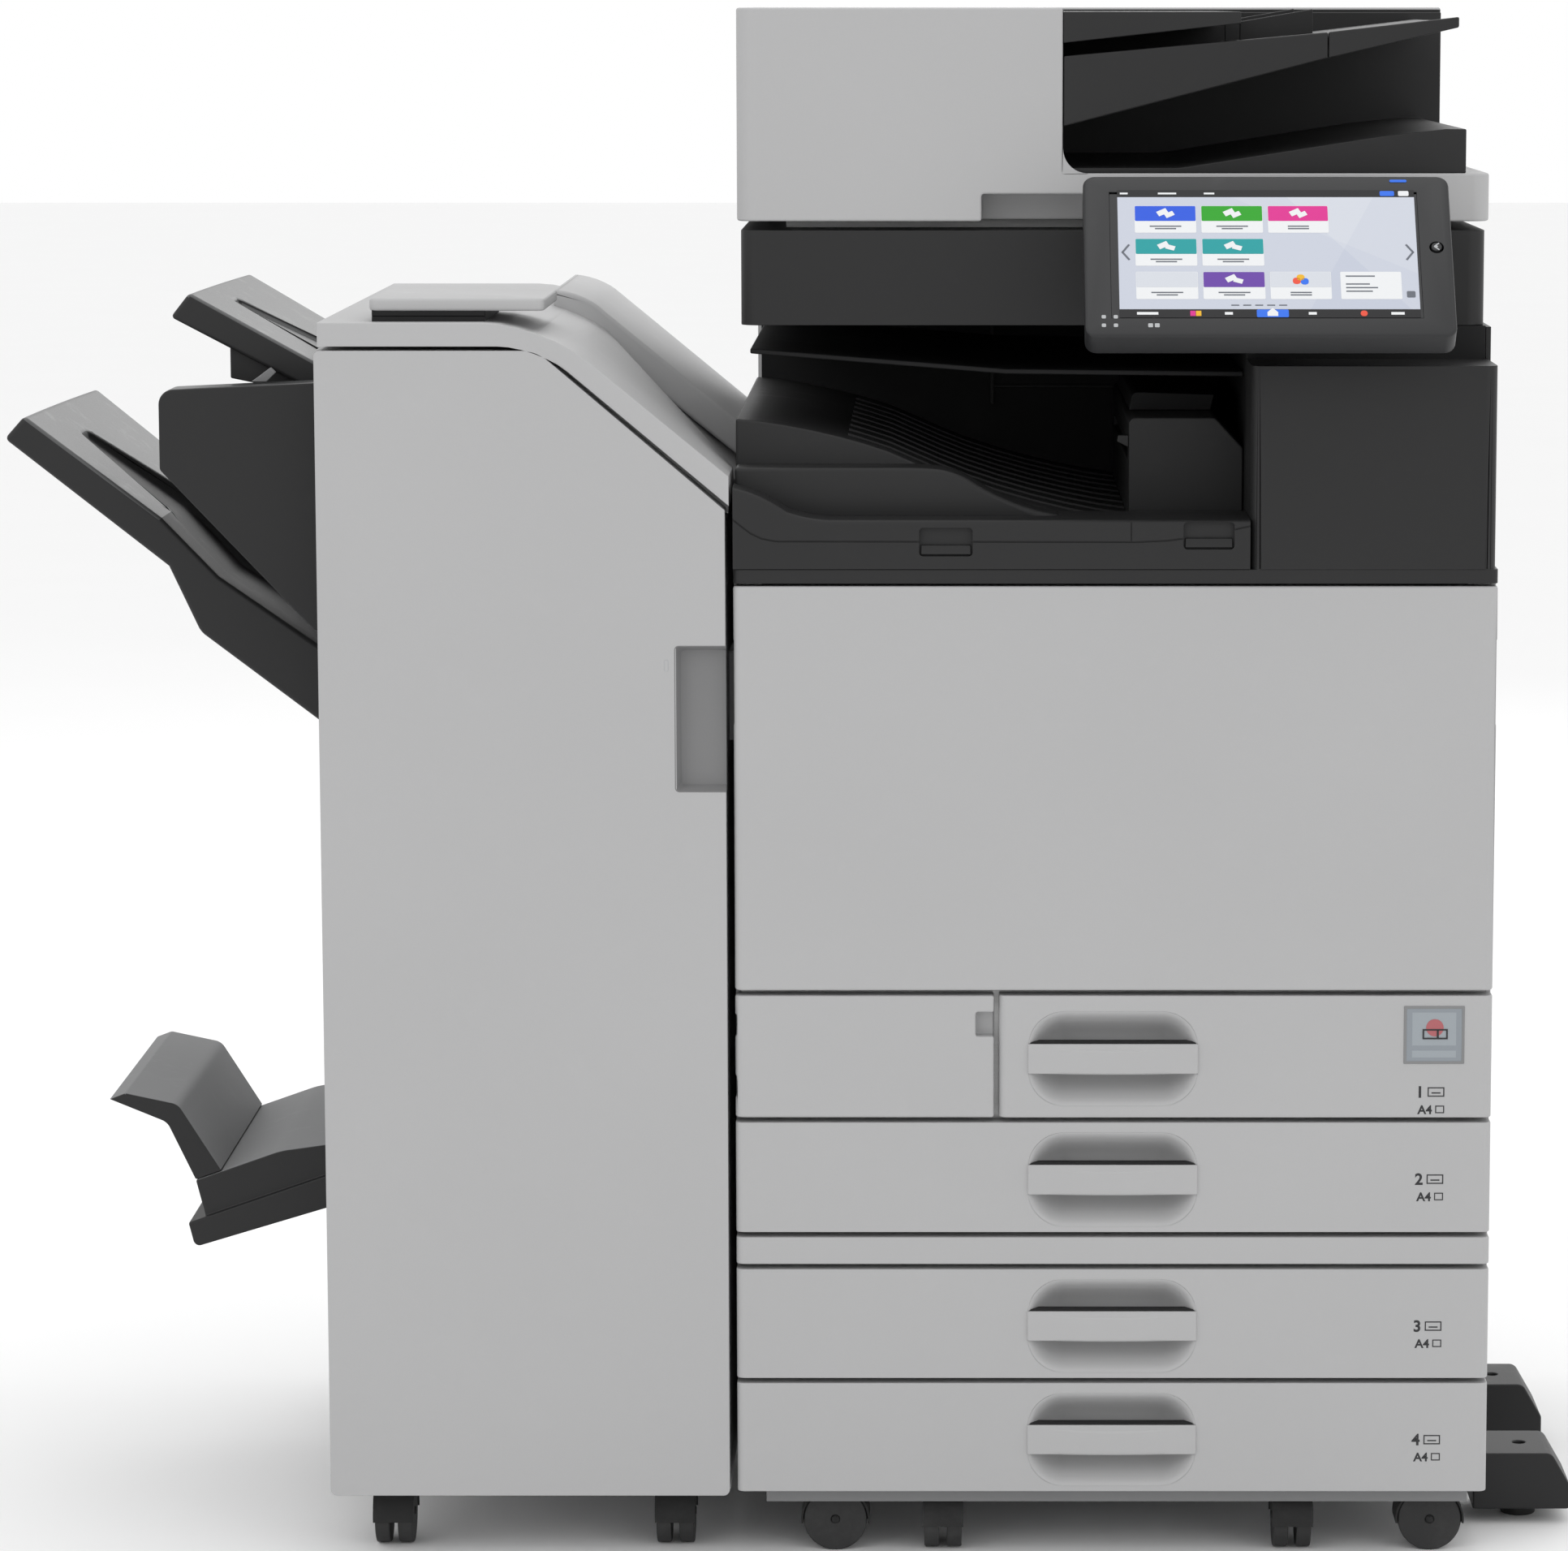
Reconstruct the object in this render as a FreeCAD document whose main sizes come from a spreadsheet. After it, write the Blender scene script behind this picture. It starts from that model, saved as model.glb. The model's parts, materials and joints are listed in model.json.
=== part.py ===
import FreeCAD, Part
import math
import os
import Sketcher

# Photocopier: main machine with document feeder, two-drawer paper bank and booklet finisher.
# Millimetres. +X to the right as seen from the front, front towards -Y, +Z up, floor at Z = 0.
# The origin lies on the floor, under the middle of the whole machine.

os.makedirs("parts", exist_ok=True)
doc = FreeCAD.newDocument("photocopier")
sheet = doc.addObject("Spreadsheet::Sheet", "sizes")


class Size:
    # A length that knows both its number and its spreadsheet expression.
    def __init__(self, text, value):
        self.text = text
        self.value = value

    def join(self, sign, other, value):
        return Size(f"({self.text} {sign} {other.text})", value)

    def __add__(self, other):
        other = as_size(other)
        return self.join("+", other, self.value + other.value)

    def __sub__(self, other):
        other = as_size(other)
        return self.join("-", other, self.value - other.value)

    def __mul__(self, other):
        other = as_size(other)
        return self.join("*", other, self.value * other.value)

    def __truediv__(self, other):
        other = as_size(other)
        return self.join("/", other, self.value / other.value)

    def __radd__(self, other):
        return as_size(other) + self

    def __rsub__(self, other):
        return as_size(other) - self

    def __rmul__(self, other):
        return as_size(other) * self

    def __neg__(self):
        return as_size(0) - self


def as_size(number):
    return number if isinstance(number, Size) else Size(repr(float(number)), float(number))


def cosine(angle):
    return Size(f"cos({angle.text} * 1deg)", math.cos(math.radians(angle.value)))


def sine(angle):
    return Size(f"sin({angle.text} * 1deg)", math.sin(math.radians(angle.value)))


rows = 0


def size(alias, number):
    global rows
    rows += 1
    sheet.set(f"A{rows}", alias)
    sheet.set(f"B{rows}", str(number))
    sheet.setAlias(f"B{rows}", alias)
    return Size(f"sizes.{alias}", float(number))


# Overall sizes
main_width = size("main_width", 587)
joint_gap = size("joint_gap", 6)
finisher_width = size("finisher_width", 313)
tray_reach = size("tray_reach", 254)
foot_reach = size("foot_reach", 79.6)
body_depth = size("body_depth", 613)
panel_reach = size("panel_reach", 72)

# Heights of the front, from the floor up
floor_gap = size("floor_gap", 43.5)
base_height = size("base_height", 13.5)
seam = size("seam", 4)
bank_front_height = size("bank_front_height", 87)
strip_height = size("strip_height", 21.5)
tray_front_height = size("tray_front_height", 87)
top_tray_height = size("top_tray_height", 96)
door_height = size("door_height", 314.5)
thin_seam = size("thin_seam", 2)
waist_height = size("waist_height", 11)
cover_height = size("cover_height", 155.5)
scanner_gap = size("scanner_gap", 26)
scanner_height = size("scanner_height", 73.5)
lid_gap = size("lid_gap", 7)
lid_height = size("lid_height", 37)
feeder_height = size("feeder_height", 127)
bed_run = size("bed_run", 222.3)

# Walls, gaps and hinges
front_thick = size("front_thick", 18)
skin = size("skin", 4)
frame_wall = size("frame_wall", 20)
rear_bay = size("rear_bay", 40)
shelf = size("shelf", 3)
seat_gap = size("seat_gap", 0.3)
shaft_gap = size("shaft_gap", 0.05)
pin_radius = size("pin_radius", 2)
ear_half = size("ear_half", 3)
ear_width = size("ear_width", 14)
edge_round = size("edge_round", 6)

# Features of the main machine
waste_width = size("waste_width", 200.5)
cover_width = size("cover_width", 188)
cover_depth = size("cover_depth", 85)
moulding_height = size("moulding_height", 38)
moulding_depth = size("moulding_depth", 75)
exit_width = size("exit_width", 90)
exit_height = size("exit_height", 80)
thin_tray = size("thin_tray", 4)
scoop_width = size("scoop_width", 130)
scoop_rim = size("scoop_rim", 14)
scoop_height = tray_front_height - scoop_rim
scoop_depth = size("scoop_depth", 31)
handle_centre = size("handle_centre", 293)
bar_height = size("bar_height", 23.5)
bar_thick = size("bar_thick", 9)
box_wall = size("box_wall", 2.5)
box_height = size("box_height", 66)
runner_gap = size("runner_gap", 4)
glass_thick = size("glass_thick", 4)
glass_width = size("glass_width", 440)
glass_depth = size("glass_depth", 304)
carriage_width = size("carriage_width", 42)
feeder_width = size("feeder_width", 251)
document_rise = size("document_rise", 36)
tray_length = size("tray_length", 204)
extension_length = size("extension_length", 101)
guide_height = size("guide_height", 18)
guide_spread = size("guide_spread", 232)
bottle_radius = size("bottle_radius", 29)
bottle_pitch = size("bottle_pitch", 118)
unit_pitch = size("unit_pitch", 104)

# Control panel
panel_width = size("panel_width", 279)
panel_height = size("panel_height", 153)
panel_thick = size("panel_thick", 23)
panel_tilt = size("panel_tilt", 40.5)
panel_low = size("panel_low", 966)
panel_left = size("panel_left", 267.8)
screen_width = size("screen_width", 234)
screen_height = size("screen_height", 118)
screen_thick = size("screen_thick", 2)
button_radius = size("button_radius", 4)
pivot_radius = size("pivot_radius", 4)

# Right side
right_door_width = size("right_door_width", 434)
bypass_width = size("bypass_width", 330)
bypass_height = size("bypass_height", 175)

# Finisher
finisher_low = size("finisher_low", 53.5)
finisher_height = size("finisher_height", 897)
slope_run = size("slope_run", 143.2)
slope_drop = size("slope_drop", 122)
rim_height = size("rim_height", 15)
side_cover_reach = size("side_cover_reach", 127)
side_cover_depth = size("side_cover_depth", 38)
exit_tray_depth = size("exit_tray_depth", 320)
grip_height = size("grip_height", 112)
grip_width = size("grip_width", 38)

# Casters
wheel_radius = size("wheel_radius", 25)
wheel_width = size("wheel_width", 12.5)
web_width = size("web_width", 6)
hood_wall = size("hood_wall", 1.6)
axle_radius = size("axle_radius", 3)
stem_radius = size("stem_radius", 5)

# Places worked out from the sizes above
half_width = (tray_reach + finisher_width + joint_gap + main_width + foot_reach) / 2
x_left = -half_width
x_fin = x_left + tray_reach
x_fin_end = x_fin + finisher_width
x_main = x_fin_end + joint_gap
x_main_end = x_main + main_width
x_tray_1 = x_main + waste_width + seam
x_cover = x_main_end - cover_width - thin_seam
y_front = (panel_reach - body_depth) / 2
y_back = (panel_reach + body_depth) / 2
y_frame = y_front + front_thick + thin_seam
y_rear_wall = y_back - skin - rear_bay
y_scanner = y_front + cover_depth
z_tray_4 = floor_gap + base_height
z_tray_3 = z_tray_4 + bank_front_height + seam
z_strip = z_tray_3 + bank_front_height + seam
z_tray_2 = z_strip + strip_height + seam
z_tray_1 = z_tray_2 + tray_front_height + seam
z_door = z_tray_1 + top_tray_height + seam
z_waist = z_door + door_height + thin_seam
z_cover = z_waist + waist_height + thin_seam / 4
z_cover_top = z_cover + cover_height
z_scanner = z_cover_top + scanner_gap
z_glass = z_scanner + scanner_height
z_lid = z_glass + lid_gap
z_lid_top = z_lid + lid_height
z_top = z_lid_top + feeder_height
z_fin_top = finisher_low + finisher_height

planes = {"XY": "XY_Plane", "XZ": "XZ_Plane", "YZ": "YZ_Plane"}
nodes = {}


def block(name, x_span, y_span, z_span):
    # A box between two values on each axis.
    piece = doc.addObject("Part::Box", name)
    for side, (low, high) in zip(("Length", "Width", "Height"), (x_span, y_span, z_span)):
        piece.setExpression(side, (as_size(high) - low).text)
    for axis, (low, high) in zip("xyz", (x_span, y_span, z_span)):
        piece.setExpression(f"Placement.Base.{axis}", as_size(low).text)
    return piece


def rod(name, axis, place, radius, start, end):
    # A round bar along an axis; place gives its two other coordinates, in X, Y, Z order.
    turns = {"x": ((0, 1, 0), 90), "y": ((1, 0, 0), -90), "z": ((0, 0, 1), 0)}
    vector, angle = turns[axis]
    piece = doc.addObject("Part::Cylinder", name)
    piece.setExpression("Radius", as_size(radius).text)
    piece.setExpression("Height", (as_size(end) - start).text)
    piece.Placement = FreeCAD.Placement(FreeCAD.Vector(), FreeCAD.Rotation(FreeCAD.Vector(*vector), angle))
    places = list(place)
    places.insert("xyz".index(axis), start)
    for letter, value in zip("xyz", places):
        piece.setExpression(f"Placement.Base.{letter}", as_size(value).text)
    return piece


def sketch_outline(body, name, plane, outline, offset):
    # A closed outline of straight edges whose corners are bound to the sheet.
    sketch = body.newObject("Sketcher::SketchObject", name)
    base = next(item for item in body.Origin.OriginFeatures if item.Role == planes[plane])
    sketch.AttachmentSupport = [(base, "")]
    sketch.MapMode = "FlatFace"
    sketch.setExpression("AttachmentOffset.Base.z", offset.text)
    corners = [(as_size(a), as_size(b)) for a, b in outline]
    points = [FreeCAD.Vector(a.value, b.value, 0) for a, b in corners]
    for number, point in enumerate(points):
        sketch.addGeometry(Part.LineSegment(point, points[(number + 1) % len(points)]), False)
    for number in range(len(points)):
        sketch.addConstraint(Sketcher.Constraint("Coincident", number, 2, (number + 1) % len(points), 1))
    for number, (a, b) in enumerate(corners):
        for kind, value in (("DistanceX", a), ("DistanceY", b)):
            index = sketch.addConstraint(Sketcher.Constraint(kind, -1, 1, number, 1, value.value))
            sketch.setExpression(f"Constraints[{index}]", value.text)
    return sketch


def prism(name, plane, outline, span, rounds=()):
    # An outline drawn on a plane and padded over a span; rounds are (radius, corner numbers).
    low, high = as_size(span[0]), as_size(span[1])
    body = doc.addObject("PartDesign::Body", name)
    offset = -high if plane == "XZ" else low
    sketch = sketch_outline(body, f"{name}_outline", plane, outline, offset)
    pad = body.newObject("PartDesign::Pad", f"{name}_pad")
    pad.Profile = sketch
    pad.setExpression("Length", (high - low).text)
    sketch.Visibility = False
    for radius, corners in rounds:
        doc.recompute()
        round_corners(body, name, plane, [outline[number] for number in corners], radius)
    return body


def round_corners(body, name, plane, corners, radius):
    # Rounds the pad's edges that stand on the given corners of its outline.
    axes = {"XY": ("x", "y"), "XZ": ("x", "z"), "YZ": ("y", "z")}[plane]
    wanted = [(as_size(a).value, as_size(b).value) for a, b in corners]
    edges = []
    for number, edge in enumerate(body.Shape.Edges, 1):
        ends = [tuple(getattr(vertex.Point, axis) for axis in axes) for vertex in edge.Vertexes]
        if len(ends) == 2 and math.dist(*ends) < 1e-6 and min(math.dist(ends[0],
            one) for one in wanted) < 1e-3:
            edges.append(f"Edge{number}")
    base = body.Tip
    fillet = body.newObject("PartDesign::Fillet", f"{name}_round")
    fillet.Base = (base, edges)
    fillet.setExpression("Radius", as_size(radius).text)


def pocket(body, name, plane, outline, span):
    # Takes an outline's prism out of a body over a span.
    low, high = as_size(span[0]), as_size(span[1])
    offset = -low if plane == "XZ" else high
    sketch = sketch_outline(body, f"{name}_outline", plane, outline, offset)
    hollow = body.newObject("PartDesign::Pocket", name)
    hollow.Profile = sketch
    hollow.setExpression("Length", (high - low).text)
    sketch.Visibility = False


def frame_of(x_span, z_span):
    return [(x_span[0], z_span[0]), (x_span[1], z_span[0]), (x_span[1], z_span[1]), (x_span[0], z_span[1])]


def fuse(name, pieces):
    joined = doc.addObject("Part::MultiFuse", name)
    joined.Shapes = pieces
    return joined


def cut(name, base, tools):
    whole = doc.addObject("Part::Cut", name)
    whole.Base = base
    whole.Tool = tools[0] if len(tools) == 1 else fuse(f"{name}_tools", tools)
    return whole


def group(name, pieces):
    # Separate solids of one node.
    several = doc.addObject("Part::Compound", name)
    several.Links = pieces
    return several


def keep(label, piece):
    piece.Label = label
    nodes[label] = piece


def hinge(name, axis, pin, spots, carrier, notch):
    # Ears with a pin on the carrier, and the notches and bores that they need in the moving piece.
    # pin: the two coordinates across the axis. carrier: (axis letter, value) that the ear reaches.
    # notch: span on each of the two cross axes.
    letters = [letter for letter in "xyz" if letter != axis]
    ears, cutters = [], []
    for number, spot in enumerate(spots):
        spans = {axis: (spot - ear_width / 2, spot + ear_width / 2)}
        gaps = {axis: (spot - ear_width / 2 - 1, spot + ear_width / 2 + 1)}
        for letter, centre, span in zip(letters, pin, notch):
            low, high = centre - ear_half, centre + ear_half
            if letter == carrier[0] and as_size(carrier[1]).value < centre.value:
                low = carrier[1]
            elif letter == carrier[0]:
                high = carrier[1]
            spans[letter] = (low, high)
            gaps[letter] = span
        ears.append(block(f"{name}_ear_{number}", *(spans[letter] for letter in "xyz")))
        start, end = spot - ear_width, spot + ear_width
        ears.append(rod(f"{name}_pin_{number}", axis, pin, pin_radius, start, end))
        cutters.append(block(f"{name}_notch_{number}", *(gaps[letter] for letter in "xyz")))
        reach = seat_gap + shaft_gap
        cutters.append(rod(f"{name}_bore_{number}", axis, pin, pin_radius + shaft_gap, start - reach,
                           end + reach))
    return ears, cutters


# Hinges of the doors: the pin lies inside the door's edge
front_pin_y = y_front + 8
front_notch_y = (y_front + 3, y_frame)
door_ears, door_cuts = hinge(
    "door_hinge", "x", (front_pin_y, z_door + 6.5), (x_main + 85, x_main_end - 85),
    ("y", y_frame + 1), (front_notch_y, (z_door - 1, z_door + 12)))
waste_ears, waste_cuts = hinge(
    "waste_hinge", "z", (x_main + 6.5, front_pin_y), (z_tray_1 + 24, z_tray_1 + top_tray_height - 24),
    ("y", y_frame + 1), ((x_main - 1, x_main + 12), front_notch_y))
fin_ears, fin_cuts = hinge(
    "finisher_hinge", "z", (x_fin + 6.5, front_pin_y), (finisher_low + 90, z_fin_top - 90),
    ("y", y_frame + 1), ((x_fin - 1, x_fin + 12), front_notch_y))

# Right door: hinged at its rear edge
y_right_door = y_scanner + right_door_width
z_right_door = z_door + 12
z_right_door_top = z_waist - 14
side_pin_x = x_main_end - 8
right_ears, right_cuts = hinge(
    "right_hinge", "z", (side_pin_x, y_right_door - 6.5), (z_right_door + 40, z_right_door_top - 40),
    ("x", x_main_end - front_thick - 3.5),
    ((x_main_end - front_thick - 1, x_main_end - 3), (y_right_door - 12, y_right_door + 1)))

# Bypass tray: hinged at its lower edge, in a recess of the right door
y_bypass = y_scanner + (right_door_width - bypass_width) / 2
z_bypass = z_right_door + 88
bypass_depth = front_thick - 6
bypass_ears, bypass_cuts = hinge(
    "bypass_hinge", "y", (x_main_end - 6, z_bypass + 5.5), (y_bypass + 50, y_bypass + bypass_width - 50),
    ("x", x_main_end - bypass_depth - 3.5),
    ((x_main_end - bypass_depth - 1, x_main_end - 1.5), (z_bypass - 1, z_bypass + 10)))

# Feeder lid: hinged along the scanner's rear edge
z_lid_pin = z_lid + 10
y_lid_pin = y_back - 8
lid_spots = (x_main + 90, x_main_end - 90)
lid_ears, lid_cuts = hinge(
    "lid_hinge", "x", (y_lid_pin, z_lid_pin), lid_spots,
    ("z", z_glass - 1), ((y_back - 15, y_back), (z_lid, z_lid + 20)))

# Feed cover: hinged at its left edge, in the top of the feeder
feed_cover_low = z_top - 10
x_feed = x_main + 14
feed_spots = (y_scanner + 60, y_back - 140)
feed_ears, feed_cuts = hinge(
    "feed_hinge", "y", (x_feed + 6, z_top - 5), feed_spots,
    ("x", x_feed - 2), ((x_feed - 1, x_feed + 11), (feed_cover_low - 1, z_top + 1)))


def chassis():
    # Steel frame: side walls, rear wall, shelves between the trays, deck and right column.
    x0, x1 = x_main + skin + seat_gap, x_main_end - skin - seat_gap
    walls = [
        block("frame_left", (x0, x_main + frame_wall + skin), (y_frame, y_back - skin - seat_gap),
              (z_tray_4, z_waist + waist_height)),
        block("frame_right", (x_main_end - frame_wall - skin, x1), (y_frame, y_back - skin - seat_gap),
              (z_tray_4, z_waist + waist_height)),
        block("frame_rear", (x0, x1), (y_rear_wall, y_back - skin - seat_gap),
              (z_tray_4, z_scanner - seat_gap)),
    ]
    levels = [z_tray_4 + shelf, z_tray_3 + shelf, z_strip + strip_height + seam + shelf,
              z_tray_1 + shelf, z_door + seam * 2]
    lows = [z_tray_4, z_tray_3 - seam - shelf, z_strip - seam - shelf, z_tray_1 - seam - shelf,
            z_door - seam - shelf]
    for number, (low, high) in enumerate(zip(lows, levels)):
        walls.append(block(f"frame_shelf_{number}", (x0, x1), (y_frame, y_rear_wall + 1), (low, high)))
    walls.append(block("frame_partition", (x_tray_1 - seam * 2, x_tray_1 + seam), (y_frame, y_rear_wall + 1),
                       (z_tray_1, z_door)))
    walls.append(block("frame_unit_shelf", (x0, x1), (y_frame + 20, y_rear_wall + 1),
                       (z_door + 30, z_door + 35)))
    walls.append(block("frame_bottle_shelf", (x0, x1), (y_frame + 20, y_rear_wall + 1),
                       (z_waist - 4 - bottle_radius * 2 - 12, z_waist - 4 - bottle_radius * 2 - 8)))
    walls.append(block("frame_deck", (x0, x1), (y_frame, y_rear_wall + 1),
                       (z_waist - 4, z_waist + waist_height)))
    column_y = (y_scanner + seat_gap, y_rear_wall + 1)
    column_z = (z_waist, z_scanner - seat_gap)
    walls.append(block("frame_column_left", (x_cover, x_cover + skin), column_y, column_z))
    walls.append(block("frame_column_right", (x1 - skin, x1), column_y, column_z))
    walls.append(block("frame_column_front", (x_cover, x1), (y_scanner + seat_gap, y_scanner + skin),
                       column_z))
    walls.append(block("frame_column_top", (x_cover, x1), column_y,
                       (z_scanner - skin - seat_gap, z_scanner - seat_gap)))
    windows = [
        block("frame_side_window", (x_main_end - frame_wall - skin - 1, x_main_end),
              (y_scanner + 12, y_right_door - 16), (z_right_door + 24, z_right_door_top - 12)),
        block("frame_side_recess", (x_main_end - front_thick - 2.5, x_main_end),
              (y_scanner - 3, y_right_door + 12), (z_right_door - 3, z_right_door_top + 3)),
    ]
    window = cut("frame_open", fuse("frame_walls", walls), windows)
    keep("chassis_frame", fuse("frame_whole", [window] + door_ears + waste_ears + right_ears))


# Casters: (name, x, y, height of the plate above, axle direction, swivels)
caster_front = y_front + 50
caster_rear = y_back - 60
x_outer_left = x_main + 76
x_outer_right = x_main_end - 41
x_inner_left = x_main + 161
x_inner_right = x_main_end - 150
z_plate = floor_gap + base_height - 3.5
casters = [
    ("front_left", x_outer_left, caster_front, z_plate, "y", True),
    ("front_right", x_outer_right, caster_front, z_plate, "y", True),
    ("finisher_left", x_fin + 45, y_front + 62, finisher_low, "x", True),
    ("finisher_right", x_fin_end - 45, y_front + 62, finisher_low, "x", True),
    ("middle_left", x_inner_left, caster_front, z_plate, "x", False),
    ("middle_right", x_inner_right, caster_front, z_plate, "x", False),
    ("rear_left", x_outer_left, caster_rear, z_plate, "x", False),
    ("rear_right", x_outer_right, caster_rear, z_plate, "x", False),
    ("finisher_rear_left", x_fin + 45, caster_rear, finisher_low, "x", False),
    ("finisher_rear_right", x_fin_end - 45, caster_rear, finisher_low, "x", False),
]


def caster_fork(name, x, y, plate, axle):
    # Hood over both wheels, with a web between them, an axle and a stem that enters the plate.
    half = web_width / 2 + wheel_width + 0.5
    centre = (y, wheel_radius) if axle == "x" else (x, wheel_radius)
    middle = x if axle == "x" else y
    radius = wheel_radius + 0.5 + hood_wall
    hood = rod(f"{name}_hood", axle, centre, radius, middle - half, middle + half)
    tools = []
    for side in (-1, 1):
        inner, outer = web_width / 2 * side, (half + 1) * side
        low, high = (inner, outer) if side > 0 else (outer, inner)
        tools.append(rod(f"{name}_wheel_room_{side + 1}", axle, centre, wheel_radius + 0.5, middle + low,
                         middle + high))
    tools.append(block(f"{name}_below", (x - radius - 1, x + radius + 1), (y - radius - 1, y + radius + 1),
                       (-hood_wall * 3, wheel_radius - 3)))
    shell = cut(f"{name}_shell", hood, tools)
    pin = rod(f"{name}_axle", axle, centre, axle_radius, middle - half, middle + half)
    z_hood = wheel_radius * 2 + 0.5
    flange = rod(f"{name}_flange", "z", (x, y), stem_radius + 6, z_hood, plate - seat_gap)
    stem = rod(f"{name}_stem", "z", (x, y), stem_radius, z_hood, plate + 3)
    return fuse(f"{name}_fork", [shell, pin, flange, stem])


def caster_wheels(name, x, y, axle):
    centre = (y, wheel_radius) if axle == "x" else (x, wheel_radius)
    middle = x if axle == "x" else y
    discs = []
    for side in (-1, 1):
        near, far = (web_width / 2 + seat_gap) * side, (web_width / 2 + seat_gap + wheel_width - 1) * side
        low, high = min(near, far, key=lambda one: one.value), max(near, far, key=lambda one: one.value)
        disc = rod(f"{name}_disc_{side + 1}", axle, centre, wheel_radius, middle + low, middle + high)
        hole = rod(f"{name}_hole_{side + 1}", axle, centre, axle_radius + shaft_gap, middle + low - 1,
                   middle + high + 1)
        discs.append(cut(f"{name}_wheel_{side + 1}", disc, [hole]))
    return group(f"{name}_wheels", discs)


def stem_hole(name, x, y, plate):
    return rod(f"{name}_socket", "z", (x, y), stem_radius + shaft_gap, plate - 1, plate + 3 + seat_gap)


def all_casters():
    fixed = []
    for name, x, y, plate, axle, swivels in casters:
        fork = caster_fork(name, x, y, plate, axle)
        if swivels:
            keep(f"caster_fork_{name}", fork)
        else:
            fixed.append(fork)
        keep(f"caster_wheels_{name}", caster_wheels(name, x, y, axle))
    keep("fixed_caster_forks", group("fixed_forks", fixed))


def base_frame():
    # Floor plate of the paper bank with a skirt round it, and sockets for the caster stems.
    x0, x1 = x_main + 22, x_main_end - 13
    y0, y1 = y_front + 20, y_back - 20
    plate = block("base_plate", (x0, x1), (y0, y1), (z_plate, z_tray_4))
    skirt_z = (floor_gap, z_tray_4)
    skirts = [
        block("skirt_front", (x0, x1), (y0, y0 + 3), skirt_z),
        block("skirt_rear", (x0, x1), (y1 - 3, y1), skirt_z),
        block("skirt_left", (x0, x0 + 3), (y0, y1), skirt_z),
        block("skirt_right", (x1 - 3, x1), (y0, y1), skirt_z),
    ]
    sockets = [stem_hole(name, x, y, plate_z) for name, x, y, plate_z, axle,
               swivels in casters[:2] + casters[4:8]]
    keep("base_frame", cut("base_whole", fuse("base_walls", [plate] + skirts), sockets))


def anti_tip_feet():
    # Two tapered feet on the right of the paper bank, each with a round pad on the floor.
    feet = []
    x0, x1 = x_main_end + 0.6, half_width
    for number, y in enumerate((y_front + 112, y_front + 338)):
        outline = [(x0, 12), (x1, 12), (x1, 30), (x1 - 16, 58), (x0, 58)]
        rounds = [(8, [3]), (4, [1, 2])]
        shoe = prism(f"foot_{number}", "XZ", outline, (y, y + 74), rounds)
        tongue = block(f"foot_tongue_{number}", (x_main_end - 13 + seat_gap, x0 + 4), (y + 12, y + 62),
                       (floor_gap + 2, z_tray_4 - 1))
        pad = rod(f"foot_pad_{number}", "z", (x0 + 40, y + 37), 14, 0, 14)
        hole = rod(f"foot_hole_{number}", "z", (x0 + 40, y + 37), 5, 44, 60)
        feet.append(cut(f"foot_whole_{number}", fuse(f"foot_sum_{number}", [shoe, tongue, pad]), [hole]))
    keep("anti_tip_feet", group("feet", feet))


def side_covers():
    # Thin covers of the left, right and rear sides.
    z_span = (z_tray_4, z_waist + waist_height)
    left = block("left_panel", (x_main, x_main + skin), (y_frame + 1.5, y_back - skin - 1), z_span)
    keep("left_cover", left)
    right = block("right_panel", (x_main_end - skin, x_main_end), (y_frame, y_back - skin - 1),
                  (z_tray_4, z_scanner - 1))
    step = block("right_step", (x_main_end - skin - 1, x_main_end + 1), (y_frame - 1, y_scanner + seat_gap),
                 (z_waist + waist_height, z_scanner))
    window = block("right_window", (x_main_end - skin - 1, x_main_end + 1),
                   (y_scanner - 3, y_right_door + 3),
                   (z_right_door - 3, z_right_door_top + 3))
    keep("right_cover", cut("right_shell", right, [step, window]))
    rear = block("rear_panel", (x_main, x_main_end), (y_back - skin, y_back), (z_tray_4, z_scanner - 1))
    slots = []
    for row in range(8):
        z = z_door + 60 + 16 * row
        slots.append(block(f"rear_slot_{row}", (x_main + 60, x_main + 220), (y_back - skin - 1, y_back + 1),
                           (z, z + 6)))
        slots.append(block(f"rear_low_slot_{row}", (x_main_end - 200, x_main_end - 60),
                           (y_back - skin - 1, y_back + 1), (z, z + 6)))
    inlet = block("inlet_hole", (x_main_end - 130, x_main_end - 92), (y_back - skin - 1, y_back + 1),
                  (z_tray_1 - 16, z_tray_1 + 14))
    keep("rear_cover", cut("rear_shell", rear, slots + [inlet]))


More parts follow.
